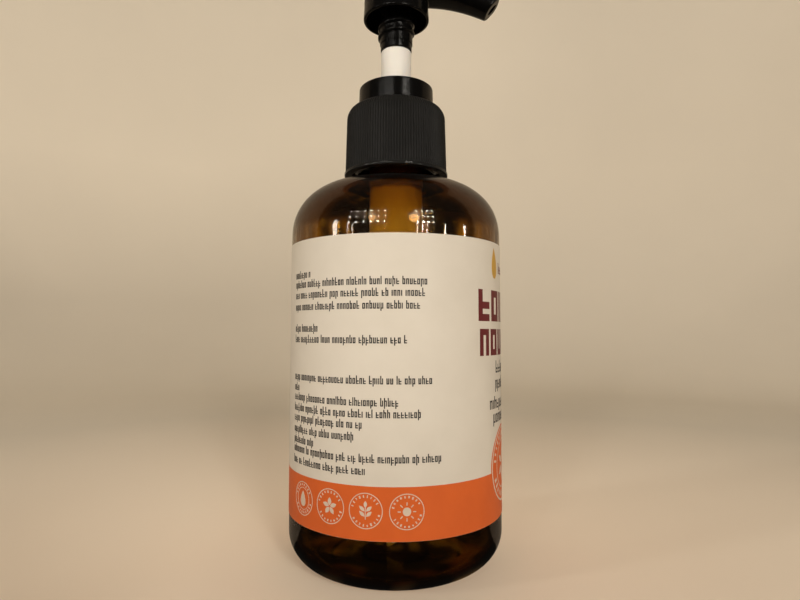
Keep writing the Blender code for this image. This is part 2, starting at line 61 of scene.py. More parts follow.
def round_node(node):
    """Radius, bottom and top of a round CAD node, in millimetres."""
    low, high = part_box(node)
    return high.y / MM, low.z / MM, high.z / MM


LABEL_RADIUS, LABEL_BOTTOM, LABEL_TOP = round_node("label")
GLASS_RADIUS = LABEL_RADIUS - 0.17  # the wall reaches out to its label, as the film sticks to it
LIP = round_node("bottle")[2]
GASKET_RADIUS, GASKET_BOTTOM, GASKET_TOP = round_node("gasket")
CLOSURE_RADIUS, CLOSURE_BOTTOM, CLOSURE_TOP = round_node("closure")
RING_FLANGE, RING_BOTTOM, RING_TOP = round_node("lock_ring")
HOUSING_FLANGE, SOCKET_BOTTOM, HOUSING_TOP = round_node("housing")
CAGE_RADIUS, CAGE_BOTTOM, CAGE_TOP = round_node("ball_retainer")
BALL_RADIUS, BALL_BOTTOM, BALL_TOP = round_node("inlet_ball")
SPRING_OUTER, SPRING_BOTTOM, SPRING_TOP = round_node("spring")
PISTON_RADIUS, PISTON_BOTTOM, PISTON_TOP = round_node("piston")
FLARE_RADIUS, ROD_BOTTOM, ROD_TOP = round_node("piston_rod")
STEM_RADIUS, STEM_BOTTOM, SPIGOT_TOP = round_node("stem")
SKIRT_RADIUS, SLEEVE_BOTTOM, HEAD_TOP = round_node("actuator")
TUBE_RADIUS, TUBE_BOTTOM, TUBE_TOP = round_node("dip_tube")
NOZZLE_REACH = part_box("actuator")[1].x / MM

# ---- mesh helpers

ARC_STEP = radians(15)  # at most, along a fillet


def steps(start, end, count):
    """The numbers from start to end in count equal steps."""
    return [start + (end - start) * k / count for k in range(count + 1)]


def around(count):
    """count angles round a circle, in radians."""
    return [2 * pi * k / count for k in range(count)]


def rounded(corners, closed=False):
    """The outline through corners (radius, height[, fillet]), each corner rounded to its fillet."""
    points = []
    count = len(corners)
    for i, corner in enumerate(corners):
        here = Vector(corner[:2])
        fillet = corner[2] if len(corner) > 2 else 0.0
        if not fillet or (not closed and i in (0, count - 1)):
            points.append(tuple(here))
            continue
        back = Vector(corners[i - 1][:2]) - here
        onward = Vector(corners[(i + 1) % count][:2]) - here
        inside = back.angle(onward)
        reach = min(fillet / tan(inside / 2), 0.49 * back.length, 0.49 * onward.length)
        middle = (back.normalized() + onward.normalized()).normalized()
        centre = here + middle * (reach / cos(inside / 2))
        first = here + back.normalized() * reach - centre
        last = here + onward.normalized() * reach - centre
        turn = pi - inside
        for part in steps(0.0, turn, max(2, ceil(turn / ARC_STEP))):
            points.append(tuple(centre + first * (sin(turn - part) / sin(turn))
                                + last * (sin(part) / sin(turn))))
    return points


def refined(points, low, high, step):
    """The same outline with a point at least every step millimetres of height from low to high."""
    made = [points[0]]
    for near, far in zip(points, points[1:]):
        touched = max(near[1], far[1]) > low and min(near[1], far[1]) < high
        pieces = max(1, ceil(abs(far[1] - near[1]) / step)) if touched else 1
        made += list(zip(steps(near[0], far[0], pieces), steps(near[1], far[1], pieces)))[1:]
    return made


def signed_power(value, power):
    return copysign(abs(value) ** power, value)


def superellipse(centre, radii, power, start, end, count):
    """Points on a superellipse's arc, angles in degrees from the outward direction."""
    points = []
    for angle in map(radians, steps(start, end, count)):
        across = signed_power(cos(angle), 2 / power)
        up = signed_power(sin(angle), 2 / power)
        points.append((centre[0] + radii[0] * across, centre[1] + radii[1] * up))
    return points


def bridge(shape, rows, closed=True, capped=True):
    """Faces between neighbouring rows of vertices; closed rows are rings, which may be capped."""
    for near, far in zip(rows, rows[1:]):
        for k in range(len(near) if closed else len(near) - 1):
            n = (k + 1) % len(near)
            shape.faces.new((near[k], near[n], far[n], far[k]))
    if capped:
        shape.faces.new(rows[0][::-1])
        shape.faces.new(rows[-1])


def new_object(name, data):
    obj = bpy.data.objects.new(name, data)
    bpy.context.scene.collection.objects.link(obj)
    return obj


def made_object(name, shape, smooth=40):
    """An object from a bmesh, with its normals out, shaded smooth but for edges past an angle."""
    bmesh.ops.recalc_face_normals(shape, faces=shape.faces)
    mesh = bpy.data.meshes.new(name)
    shape.to_mesh(mesh)
    shape.free()
    mesh.shade_smooth()
    mesh.set_sharp_from_angle(angle=radians(smooth))
    return new_object(name, mesh)


def lathe(name, outline, sides, relief=None, smooth=40):
    """A turned body. The outline runs from axis to axis, or is a loop that is clear of the axis.

    relief(angle, radius, height) says how far a point stands out from the outline.
    """
    shape = bmesh.new()
    rings = []
    for radius, height in outline:
        if radius < 1e-6:
            rings.append([shape.verts.new((0.0, 0.0, height * MM))] * sides)
            continue
        ring = []
        for angle in around(sides):
            out = radius + (relief(angle, radius, height) if relief else 0.0)
            ring.append(shape.verts.new((out * cos(angle) * MM, out * sin(angle) * MM,
                                         height * MM)))
        rings.append(ring)
    if outline[0][0] > 1e-6:
        rings.append(rings[0])
    for upper, lower in zip(rings, rings[1:]):
        for k in range(sides):
            n = (k + 1) % sides
            shape.faces.new(tuple(dict.fromkeys((upper[k], lower[k], lower[n], upper[n]))))
    return made_object(name, shape, smooth)


def turned(name, corners, sides, relief=None):
    """A turned body that is clear of the axis, through rounded corners."""
    return lathe(name, rounded(corners, closed=True), sides, relief)


def smoothstep(value):
    value = min(1.0, max(0.0, value))
    return value * value * (3 - 2 * value)


def ridge(angle, height, start, pitch, turns, half):
    """Height, 0 to 1, of a right-hand thread's ridge that thins out towards its ends."""
    best = 0.0
    for n in range(ceil(turns) + 1):
        place = angle / (2 * pi) + n
        offset = abs(height - start - pitch * place)
        if place <= turns and offset < half:
            flank = smoothstep((half - offset) / (0.62 * half))
            best = max(best, flank * smoothstep(min(place, turns - place) / 0.2))
    return best


def thread(root, crest, *course):
    """A relief for lathe: a thread on the surface of radius root, whose ridge reaches crest."""

    def relief(angle, radius, height):
        return (crest - root) * ridge(angle, height, *course) if abs(radius - root) < 0.05 else 0.0

    return relief


def applied(obj):
    """obj with its modifiers applied."""
    graph = bpy.context.evaluated_depsgraph_get()
    mesh = bpy.data.meshes.new_from_object(obj.evaluated_get(graph))
    obj.modifiers.clear()
    obj.data = mesh
    return obj


def combined(obj, other, operation="DIFFERENCE"):
    """obj with a Boolean of other applied, and other removed."""
    change = obj.modifiers.new("join", "BOOLEAN")
    change.operation = operation
    change.solver = "MANIFOLD"
    change.object = other
    applied(obj)
    bpy.data.objects.remove(other, do_unlink=True)
    return obj


# ---- material helpers


def feed(node, inputs):
    """Links or sets a node's inputs, by name or index. A colour gets its alpha."""
    for key, value in inputs.items():
        socket = node.inputs[key]
        if isinstance(value, bpy.types.NodeSocket):
            node.id_data.links.new(value, socket)
        else:
            socket.default_value = (*value, 1.0) if socket.type == "RGBA" else value


def new_material(name, inputs=None):
    """A material, its node tree and its shader, with the shader's inputs fed."""
    made = bpy.data.materials.new(name)
    made.use_nodes = True
    shader = made.node_tree.nodes["Principled BSDF"]
    feed(shader, inputs or {})
    return made, made.node_tree, shader


def add_node(tree, kind, inputs=None, **settings):
    node = tree.nodes.new(kind)
    for key, value in settings.items():
        setattr(node, key, value)
    feed(node, inputs or {})
    return node


def place_socket(tree):
    """Coordinates in metres, which stay on the piece."""
    return add_node(tree, "ShaderNodeTexCoord").outputs["Object"]


def split_place(tree):
    """The same coordinates, one by one."""
    return add_node(tree, "ShaderNodeSeparateXYZ", {"Vector": place_socket(tree)}).outputs


def distance(tree):
    """Distance from the piece's origin, in metres."""
    return add_node(tree, "ShaderNodeVectorMath", {0: place_socket(tree)},
                    operation="LENGTH").outputs["Value"]


def noise(tree, scale, detail=3.0, roughness=0.55, stretch=None):
    """Noise over the piece's own coordinates, scale in features per metre."""
    place = place_socket(tree)
    if stretch:
        place = add_node(tree, "ShaderNodeMapping", {"Vector": place, "Scale": stretch}).outputs[0]
    return add_node(tree, "ShaderNodeTexNoise", {"Vector": place, "Scale": scale, "Detail": detail,
                                                 "Roughness": roughness}).outputs["Fac"]


def remap(tree, source, low, high, out_low=0.0, out_high=1.0):
    return add_node(tree, "ShaderNodeMapRange",
                    {"Value": source, "From Min": low, "From Max": high, "To Min": out_low,
                     "To Max": out_high}).outputs["Result"]


def product(tree, first, second):
    return add_node(tree, "ShaderNodeMath", {0: first, 1: second},
                    operation="MULTIPLY").outputs["Value"]


def largest(tree, first, second):
    return add_node(tree, "ShaderNodeMath", {0: first, 1: second},
                    operation="MAXIMUM").outputs["Value"]


def blend(tree, factor, first, second):
    """A colour between two, each a colour or a socket."""
    return add_node(tree, "ShaderNodeMix", {0: factor, 6: first, 7: second},
                    data_type="RGBA").outputs[2]


def blend_shaders(tree, factor, first, second):
    """Makes the surface first where factor is 0, and second where it is 1."""
    choice = add_node(tree, "ShaderNodeMixShader", {0: factor, 1: first, 2: second})
    feed(tree.nodes["Material Output"], {"Surface": choice.outputs["Shader"]})


def bump(tree, shader, height, strength, distance):
    made = add_node(tree, "ShaderNodeBump",
                    {"Height": height, "Strength": strength, "Distance": distance * MM})
    feed(shader, {"Normal": made.outputs["Normal"]})


def plastic(name, colour, shade, roughness, grain=9000, grain_depth=0.004, spread=0.08,
            specular=0.5, subsurface=0.0, polished=None):
    """Moulded plastic: a cloudy colour, uneven gloss and a fine moulded grain.

    polished is a range of heights, in millimetres, where the surface is smooth and shiny.
    """
    made, tree, shader = new_material(name, {"Specular IOR Level": specular})
    if subsurface:
        feed(shader, {"Subsurface Weight": subsurface, "Subsurface Scale": 0.0012,
                      "Subsurface Radius": (1.0, 0.8, 0.55)})
    cloud = remap(tree, noise(tree, 130, 4.0), 0.3, 0.7)
    gloss = remap(tree, noise(tree, 420, 5.0, 0.65), 0.3, 0.7, roughness - spread / 2,
                  roughness + spread / 2)
    if polished:
        height = split_place(tree)["Z"]
        over = remap(tree, height, polished[1] * MM, (polished[1] + 0.1) * MM, 0.2, 1.0)
        under = remap(tree, height, polished[0] * MM, (polished[0] + 0.1) * MM, 1.0, 0.2)
        gloss = product(tree, gloss, largest(tree, over, under))
    feed(shader, {"Base Color": blend(tree, cloud, colour, shade), "Roughness": gloss})
    bump(tree, shader, noise(tree, grain, 2.0), 0.6, grain_depth)
    return made


def clear_material(name, ior, roughness):
    """Clear glass or plastic which casts no shadow, so that lamps reach what is behind it."""
    made, tree, shader = new_material(name, {"Base Color": (1.0, 1.0, 1.0), "IOR": ior,
                                             "Transmission Weight": 1.0})
    gloss = remap(tree, noise(tree, 300, 5.0, 0.7), 0.35, 0.75, roughness * 0.5, roughness * 1.5)
    feed(shader, {"Roughness": gloss})
    lamps = add_node(tree, "ShaderNodeBsdfTransparent")
    path = add_node(tree, "ShaderNodeLightPath")
    blend_shaders(tree, path.outputs["Is Shadow Ray"], shader.outputs["BSDF"],
                  lamps.outputs["BSDF"])
    return made, tree, shader


def gloss_black(name):
    """Polished black moulding with faint smears."""
    return plastic(name, (0.0020, 0.0019, 0.0018), (0.0030, 0.0028, 0.0026), 0.19, grain=2600,
                   grain_depth=0.003, spread=0.06, specular=0.26)


def dress(obj, material, body, slot, *nodes):
    """Gives a piece its material and its body, and hides the CAD nodes that it stands for; slot is
    not used.
    """
    obj.data.materials.clear()
    obj.data.materials.append(material)
    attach(obj, body)
    if nodes:
        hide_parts(*nodes)
    return obj


# ---- bottle

WALL = 0.9
BASE_THICKNESS = 1.4
HEEL_RADIUS = 9.5
SHOULDER_START = 89.7
SHOULDER_HEIGHT = 16.5
SHOULDER_POWER = 2.25
SHOULDER_END = 78  # degrees of the superellipse, above which the neck's fillet begins
NECK_RADIUS = 10.86
NECK_BORE = 9.15
THREAD_RADIUS = 11.94
THREAD_PITCH = 3.175
NECK_THREAD_START = 115.4
BEAD_RADIUS = 12.4
BEAD_HEIGHT = 110.3
SHOULDER_TOP = SHOULDER_START + SHOULDER_HEIGHT


def side_outline(radius, neck, top):
    """The shoulder, from the neck's fillet down to the straight side."""
    return superellipse((neck, SHOULDER_START), (radius - neck, top - SHOULDER_START),
                        SHOULDER_POWER, SHOULDER_END, 0, 26)


def heel_outline(radius, size, floor):
    """The heel's quarter round, from the side down to the base."""
    return superellipse((radius - size, floor + size), (size, size), 2, 0, -90, 14)


def bottle_outside():
    shoulder = side_outline(GLASS_RADIUS, NECK_RADIUS, SHOULDER_TOP)
    heel = heel_outline(GLASS_RADIUS, HEEL_RADIUS, 0.0)
    finish = [(NECK_BORE, LIP - 1.0), (NECK_BORE, LIP, 0.3), (NECK_RADIUS, LIP, 0.5),
              (NECK_RADIUS, BEAD_HEIGHT + 0.9, 0.4), (BEAD_RADIUS, BEAD_HEIGHT + 0.55, 0.35),
              (BEAD_RADIUS, BEAD_HEIGHT - 0.55, 0.35), (NECK_RADIUS, BEAD_HEIGHT - 0.9, 0.4),
              (NECK_RADIUS, SHOULDER_TOP + 0.3, 1.2), shoulder[1]]
    groove = [(18.5, 0.0, 0.8), (17.5, 0.6, 0.8), (9.5, 0.6, 0.8), (8.5, 0.0, 0.8), (0.0, 0.0)]
    return rounded(finish)[1:-1] + shoulder[1:] + heel[:-1] + rounded(heel[-2:] + groove)[1:]


def cavity_outline():
    """The bottle's inner face from the axis up, with a base that rises a little in the middle."""
    radius = GLASS_RADIUS - WALL
    heel = heel_outline(radius, HEEL_RADIUS - WALL, BASE_THICKNESS)[::-1]
    shoulder = side_outline(radius, NECK_BORE, SHOULDER_TOP - WALL)[::-1]
    middle = [(0.0, BASE_THICKNESS + 0.5), (6.0, BASE_THICKNESS + 0.4), (12.0, BASE_THICKNESS + 0.1)]
    return middle + heel + shoulder + [(NECK_BORE, SHOULDER_TOP + 0.2), (NECK_BORE, LIP - 0.3)]


def amber():
    """Amber plastic, darker where a ray runs through more of it, with a faint waviness."""
    made, tree, shader = clear_material("amber_clear", 1.57, 0.06)
    bump(tree, shader, noise(tree, 60, 2.0), 0.05, 0.05)
    depth = add_node(tree, "ShaderNodeVolumeAbsorption",
                     {"Color": (0.75, 0.60, 0.055), "Density": 2600.0})
    feed(tree.nodes["Material Output"], {"Volume": depth.outputs["Volume"]})
    return made


def build_bottle():
    outline = cavity_outline() + bottle_outside()
    outline = refined(outline, NECK_THREAD_START - 2, LIP - 1, 0.2)
    obj = lathe("bottle_wall", outline, 160,
                thread(NECK_RADIUS, THREAD_RADIUS, NECK_THREAD_START, THREAD_PITCH, 1.6, 1.0))
    dress(obj, amber(), "bottle", "amber_plastic", "bottle")


# ---- label

FILM_INNER = LABEL_RADIUS - 0.18
FILM_OUTER = LABEL_RADIUS - 0.07
SEAM = -90.0  # degrees from the view direction towards the nozzle
LAP = 16.0  # degrees by which the film's end lies over its start
BAND_TOP = 27.0
ORANGE = ((0.78, 0.145, 0.026), (0.73, 0.132, 0.024))
DEGREE = radians(1.0) * LABEL_RADIUS  # millimetres round the label in one degree


def on_label(across, height, out):
    """A point in metres; across is degrees from the view direction towards the nozzle."""
    angle = radians(across - 90.0)
    return Vector((out * cos(angle), out * sin(angle), height)) * MM


def film(name, low, high, inner, outer, start=0.0, end=360.0 + LAP):
    """A closed sheet round the bottle, between two radii, whose end stands out over its start."""
    shape = bmesh.new()
    columns = []
    for turn in steps(start, end, ceil((end - start) / 2.0)):
        lift = 0.05 * smoothstep((turn - 356.0) / 4.0)
        columns.append([shape.verts.new(on_label(SEAM - LAP / 2 + turn, z, r + lift))
                        for r, z in ((inner, low), (outer, low), (outer, high), (inner, high))])
    bridge(shape, columns)
    return made_object(name, shape)


def printed(name, tones, roughness=0.45):
    """Printing ink in two tones that cloud into each other."""
    return plastic(name, *tones, roughness, grain=6000, grain_depth=0.002)


def build_label():
    paper = printed("label_film", ((0.78, 0.715, 0.615), (0.75, 0.685, 0.585)), 0.42)
    sheet = film("label_sheet", LABEL_BOTTOM, LABEL_TOP, FILM_INNER, FILM_OUTER)
    dress(sheet, paper, "bottle", "label_paper", "label")
    band = film("label_band", LABEL_BOTTOM + 0.02, BAND_TOP, FILM_OUTER - 0.01, FILM_OUTER + 0.012,
                0.2, 359.8 + LAP)
    dress(band, printed("label_orange", ORANGE, 0.40), "bottle", "label_paper")


class Ink:
    """Flat marks wrapped round the label, all in one ink and one piece."""

    def __init__(self, lift=0.0):
        self.shape = bmesh.new()
        self.over = FILM_OUTER + 0.025 + lift

    def sheet(self, rows, loop=False):
        """A closed thin sheet over rows of points (degrees, height) of equal number."""
        rings = []
        for row in rows:
            places = [(*at, self.over) for at in row]
            places += [(*at, FILM_OUTER - 0.01) for at in row[::-1]]
            rings.append([self.shape.verts.new(on_label(*place)) for place in places])
        bridge(self.shape, rings + rings[:1] if loop else rings, capped=False)
        if not loop:
            for ring in (rings[0], rings[-1]):
                for k in range(len(rows[0]) - 1):
                    self.shape.faces.new((ring[k], ring[k + 1], ring[-k - 2], ring[-k - 1]))

    def bar(self, left, low, right, high):
        """A rectangle, left and right in degrees, with enough columns to follow the label."""
        count = max(1, ceil(abs(right - left) / 2.0))
        self.sheet([((x, low), (x, high)) for x in steps(left, right, count)])

    def line(self, path, width, loop=False):
        """A line of one width through points (degrees, height)."""
        rows = []
        count = len(path)
        for i, (x, z) in enumerate(path):
            last = path[i - 1] if i or loop else path[0]
            following = path[(i + 1) % count] if i < count - 1 or loop else path[-1]
            along = Vector(((following[0] - last[0]) * DEGREE, following[1] - last[1])).normalized()
            side = Vector((-along.y, along.x)) * width / 2
            rows.append(((x + side.x / DEGREE, z + side.y), (x - side.x / DEGREE, z - side.y)))
        self.sheet(rows, loop)

    def ring(self, x, z, radius, width):
        path = [(x + radius * cos(a) / DEGREE, z + radius * sin(a)) for a in around(48)]
        self.line(path, width, loop=True)

    def shape_along(self, x, z, length, tilt, half):
        """A filled shape: half(t) is its half width at t, from 0 at its foot to 1 at its top."""
        turn = Matrix.Rotation(radians(tilt), 2)
        rows = []
        for angle in steps(0.0, pi, 16):
            t = 0.5 - 0.5 * cos(angle)
            row = []
            for share in (-1.0, -0.5, 0.0, 0.5, 1.0):
                at = turn @ Vector((share * half(t), (t - 0.5) * length))
                row.append((x + at.x / DEGREE, z + at.y))
            rows.append(row)
        self.sheet(rows)

    def leaf(self, x, z, length, width, tilt):
        self.shape_along(x, z, length, tilt, lambda t: width / 2 * sin(pi * t) + 0.01)

    def petals(self, x, z, count, reach, length, width):
        for k in range(count):
            tilt = 360 * k / count
            turn = radians(tilt)
            self.leaf(x - reach * sin(turn) / DEGREE, z + reach * cos(turn), length, width, tilt)

    def disc(self, x, z, radius):
        """A filled disc of upright strips."""
        rows = []
        for angle in steps(0.0, pi, 24):
            aside = -cos(angle)
            half = radius * sqrt(max(0.0, 1 - aside ** 2)) + 0.01
            at = x + radius * aside / DEGREE
            rows.append(((at, z - half), (at, z + half)))
        self.sheet(rows)

    def drop(self, x, z, length, width, tilt=0.0):
        self.shape_along(x, z, length, tilt,
                         lambda t: width / 2 * 1.54 * sqrt(t) * (1 - t) * 1.69 + 0.01)

    def finish(self, name, tones):
        dress(made_object(name, self.shape), printed(name, tones), "bottle", "label_paper")


CROSSBARS = {"gate": (1.0,), "cup": (0.0,), "frame": (0.0, 1.0), "fork": (0.0, 0.5)}


def mark(ink, draw, left, low, width, height, stroke, caps):
    """One placeholder mark, an abstract post, gate, cup, frame or fork, and its width's share."""
    right = left + width / DEGREE
    thick = stroke / DEGREE
    kind = draw.choice(("post", "gate", "cup", "frame", "fork", "gate", "frame", "fork"))
    rise = 0.0 if caps else draw.choice((0.0, 0.0, 0.0, 0.42)) * height
    fall = 0.0 if caps else draw.choice((0.0, 0.0, 0.0, 0.0, 0.36)) * height
    if kind == "post":
        ink.bar(left, low, left + thick, low + height + rise)
        return stroke / width
    ink.bar(left, low - fall, left + thick, low + height + rise)
    if kind != "fork":
        ink.bar(right - thick, low, right, low + height)
        right -= thick
    for share in CROSSBARS[kind]:
        level = low + share * (height - stroke)
        ink.bar(left + thick, level, right, level + stroke)
    return 1.0


def mark_row(ink, draw, left, right, low, height=1.42, width=0.70, stroke=0.27, gap=0.20,
             group=(2, 9), caps=False):
    """A row of placeholder marks in groups, in the place of a line of text."""
    x = left
    while x + width / DEGREE < right:
        for _ in range(draw.randint(*group)):
            share = mark(ink, draw, x, low, width, height, stroke, caps)
            x += (width * share + gap) / DEGREE
            if x + width / DEGREE > right:
                break
        x += 0.85 * width / DEGREE


def badge_ring(ink, draw, x, z, radius, line, count, inner=True):
    """A ring, or two, with a round of short ticks inside the first."""
    ink.ring(x, z, radius, line)
    if inner:
        ink.ring(x, z, 0.66 * radius, 0.7 * line)
    for k in range(count):
        if k % (count // 2) in (0, 1):
            continue
        angle = 2 * pi * k / count
        near = draw.uniform(0.74, 0.80) * radius
        far = 0.90 * radius
        ends = [(x + r * cos(angle) / DEGREE, z + r * sin(angle)) for r in (near, far)]
        ink.line(ends, 0.10 * radius * draw.uniform(0.55, 1.0))


TEXT_LEFT = -62.0
TEXT_ROWS = (  # foot of each row in millimetres, and its end in degrees
    (77.3, -45.0), (74.8, 15.5), (72.0, 15.0), (68.95, 12.0),
    (63.4, -38.6), (60.65, 7.0),
    (50.95, 17.6), (48.2, -54.0), (45.75, 2.0), (43.0, 13.5), (40.4, -15.0), (37.5, -17.6),
    (34.8, -42.5), (32.5, 23.0), (29.6, -12.5),
)
BACK_ROWS = ((76.0, 222.0), (73.2, 230.0), (70.4, 216.0), (64.8, 200.0), (62.0, 229.0),
             (59.2, 233.0), (56.4, 190.0), (50.8, 205.0), (48.0, 226.0), (45.2, 212.0),
             (39.6, 231.0), (36.8, 224.0), (34.0, 188.0))
BACK_LEFT = 152.0
PANEL = 90.0  # middle of the front panel, under the nozzle
SMALL_ROWS = ((52.6, 27.0), (48.4, 28.0), (43.3, 35.0), (39.6, 31.0))
BADGE = (75.8, 27.9, 10.5)
ICONS = (-51.0, -31.8, -13.3, 5.6)
ICON_HEIGHT = 21.3
ICON_RADIUS = 4.1


def build_text():
    draw = random.Random(24)
    dark = Ink()
    for low, right in TEXT_ROWS:
        mark_row(dark, draw, TEXT_LEFT, right, low)
    for low, right in BACK_ROWS:
        mark_row(dark, draw, BACK_LEFT, right, low)
    for low, half in SMALL_ROWS:
        mark_row(dark, draw, PANEL - half, PANEL + half, low, height=2.3, width=1.45, stroke=0.46,
                 gap=0.45, group=(4, 8))
    dark.finish("label_text", ((0.024, 0.021, 0.02), (0.035, 0.030, 0.027)))

    title = Ink()
    mark_row(title, draw, PANEL - 45.0, PANEL + 45.0, 66.2, height=8.2, width=5.3, stroke=1.85,
             gap=1.15, group=(6, 6), caps=True)
    mark_row(title, draw, PANEL - 44.0, PANEL + 44.0, 57.3, height=6.9, width=4.4, stroke=1.6,
             gap=1.0, group=(7, 7), caps=True)
    mark_row(title, draw, 69.0, 118.0, 79.3, height=2.1, width=1.7, stroke=0.45, gap=0.5,
             group=(5, 6))
    title.finish("label_title", ((0.16, 0.018, 0.022), (0.145, 0.016, 0.02)))


def build_badges():
    draw = random.Random(7)
    x, z, radius = BADGE
    field = Ink()
    field.disc(x, z, radius)
    field.finish("label_badge", ORANGE)

    white = Ink(0.012)
    badge_ring(white, draw, x, z, 0.93 * radius, 0.48, 30)
    white.petals(x, z, 6, 2.9, 4.0, 1.6)
    for icon in ICONS:
        badge_ring(white, draw, icon, ICON_HEIGHT, ICON_RADIUS, 0.2, 22, inner=icon == ICONS[0])
    drop, flower, sprig, sun = ICONS
    white.drop(drop, ICON_HEIGHT, 3.8, 2.3)
    white.petals(flower, ICON_HEIGHT, 5, 1.15, 1.9, 1.05)
    white.line([(sprig, ICON_HEIGHT - 2.0), (sprig, ICON_HEIGHT + 1.0)], 0.2)
    for side in (-1, 1):
        for rise in (-0.7, 0.5):
            white.leaf(sprig + 0.85 * side / DEGREE, ICON_HEIGHT + rise, 1.8, 0.8, -48 * side)
    white.leaf(sprig, ICON_HEIGHT + 1.5, 1.6, 0.8, 0)
    white.disc(sun, ICON_HEIGHT, 1.0)
    for angle in around(8):
        white.line([(sun + r * cos(angle) / DEGREE, ICON_HEIGHT + r * sin(angle))
                    for r in (1.45, 2.2)], 0.24)
    mark_row(white, draw, 108.0, 138.0, 20.0, height=2.0, width=1.3, stroke=0.32, gap=0.42,
             group=(3, 6))
    white.finish("label_white", ((0.76, 0.62, 0.50), (0.72, 0.58, 0.46)))

    gold = Ink()
    gold.drop(61.6, 81.7, 8.2, 3.5, 3)
    gold.finish("label_gold", ((0.66, 0.38, 0.05), (0.58, 0.32, 0.04)))


# ---- closure

RIBS = 116
RIB_DEPTH = 0.28
BAND_HEIGHT = 0.9
CLOSURE_SIDE_LOW = 14.83
CLOSURE_SIDE_HIGH = 14.44
CLOSURE_SHOULDER = 125.3
CLOSURE_HOLE = 11.2
CLOSURE_BORE = 12.85
CLOSURE_THREAD_START = 113.4
CLOSURE_THREAD = thread(CLOSURE_BORE, THREAD_RADIUS + 0.2, CLOSURE_THREAD_START, THREAD_PITCH, 2.0,
                        0.9)


def closure_relief(angle, radius, height):
    """Ribs outside, above the plain band, and the thread inside."""
    if radius > CLOSURE_SIDE_HIGH - 1.3 and height > CLOSURE_BOTTOM + BAND_HEIGHT:
        fade = smoothstep((height - CLOSURE_BOTTOM - BAND_HEIGHT) / 0.3)
        fade *= smoothstep((CLOSURE_TOP - 0.5 - height) / 1.0)
        wave = 0.5 - 0.5 * cos(RIBS * angle)
        return -RIB_DEPTH * fade * wave ** 1.3
    return CLOSURE_THREAD(angle, radius, height)


def build_closure():
    roof = CLOSURE_TOP - 1.55
    corner = superellipse((CLOSURE_HOLE, CLOSURE_SHOULDER),
                          (CLOSURE_SIDE_HIGH - CLOSURE_HOLE, CLOSURE_TOP - CLOSURE_SHOULDER),
                          2.0, 88, 0, 14)
    band = CLOSURE_BOTTOM + BAND_HEIGHT
    side = list(zip(steps(CLOSURE_SIDE_HIGH, CLOSURE_SIDE_LOW, 14),
                    steps(CLOSURE_SHOULDER, band + 0.35, 14)))[1:]
    foot = rounded([side[-1], (CLOSURE_SIDE_LOW, band, 0.12), (CLOSURE_RADIUS, band, 0.25),
                    (CLOSURE_RADIUS, CLOSURE_BOTTOM, 0.3), (CLOSURE_BORE, CLOSURE_BOTTOM, 0.4),
                    (CLOSURE_BORE, roof, 0.2), (CLOSURE_HOLE, roof, 0.15),
                    (CLOSURE_HOLE, CLOSURE_TOP, 0.1), corner[0]])[1:-1]
    outline = refined(corner + side + foot, CLOSURE_THREAD_START - 2, roof - 1, 0.6)
    obj = lathe("closure_ribbed", outline, RIBS * 6, closure_relief, smooth=50)
    skin = plastic("closure_black", (0.0135, 0.0132, 0.0126), (0.0165, 0.0160, 0.0152), 0.46,
                   grain=14000, grain_depth=0.006, spread=0.12, specular=0.2,
                   polished=(CLOSURE_BOTTOM + 0.15, band))
    dress(obj, skin, "closure", "closure_plastic", "closure")


# ---- lock ring, gasket

RING_HIGH = 10.83
RING_LOW = 11.0
RING_FLANGE_TOP = 127.2
FLANGE_BOTTOM = HOUSING_TOP - 1.0
RING_UNDER = 126.25
RING_DISH = 133.2
RING_DISH_RADIUS = 9.98
RING_WELL = 6.9
RING_GUIDE = 6.4
STEM_GUIDE = 4.66
LOCK_BOTTOM = 125.6
LOCK_ROOT = 5.65
LOCK_CREST = 5.05
LOCK_PITCH = 2.6
LOCK_START = 129.2


def build_lock_ring():
    floor = RING_DISH - 1.1
    inner = RING_WELL + 0.2
    outer = RING_DISH_RADIUS - 0.2
    seat = HOUSING_FLANGE + 0.2
    well_top = RING_TOP - 0.4
    corners = rounded([
        (RING_HIGH, RING_TOP, 0.55), (RING_LOW, CLOSURE_TOP, 0.5),
        (RING_LOW, RING_FLANGE_TOP, 0.2), (RING_FLANGE, RING_FLANGE_TOP, 0.25),
        (RING_FLANGE, FLANGE_BOTTOM, 0.2), (seat, FLANGE_BOTTOM, 0.15),
        (seat, RING_UNDER, 0.1), (outer, RING_UNDER, 0.15), (outer, floor, 0.25),
        (inner, floor, 0.25), (inner, RING_UNDER, 0.15), (RING_GUIDE, RING_UNDER, 0.15),
        (RING_GUIDE, RING_BOTTOM, 0.3), (STEM_GUIDE, RING_BOTTOM, 0.3),
        (STEM_GUIDE, LOCK_BOTTOM, 0.2), (LOCK_ROOT, LOCK_BOTTOM + 1.0, 0.3),
        (LOCK_ROOT, well_top, 0.3), (RING_WELL, well_top, 0.3), (RING_WELL, RING_DISH, 0.3),
        (RING_DISH_RADIUS, RING_DISH, 0.3), (RING_DISH_RADIUS, RING_TOP, 0.3)], closed=True)
    outline = refined(corners, LOCK_START - 1.5, well_top - 0.4, 0.25)
    obj = lathe("lock_ring_turned", outline, 128,
                thread(LOCK_ROOT, LOCK_CREST, LOCK_START, LOCK_PITCH, 1.6, 0.75))
    dress(obj, gloss_black("ring_black"), "pump_unit", "head_plastic", "lock_ring")


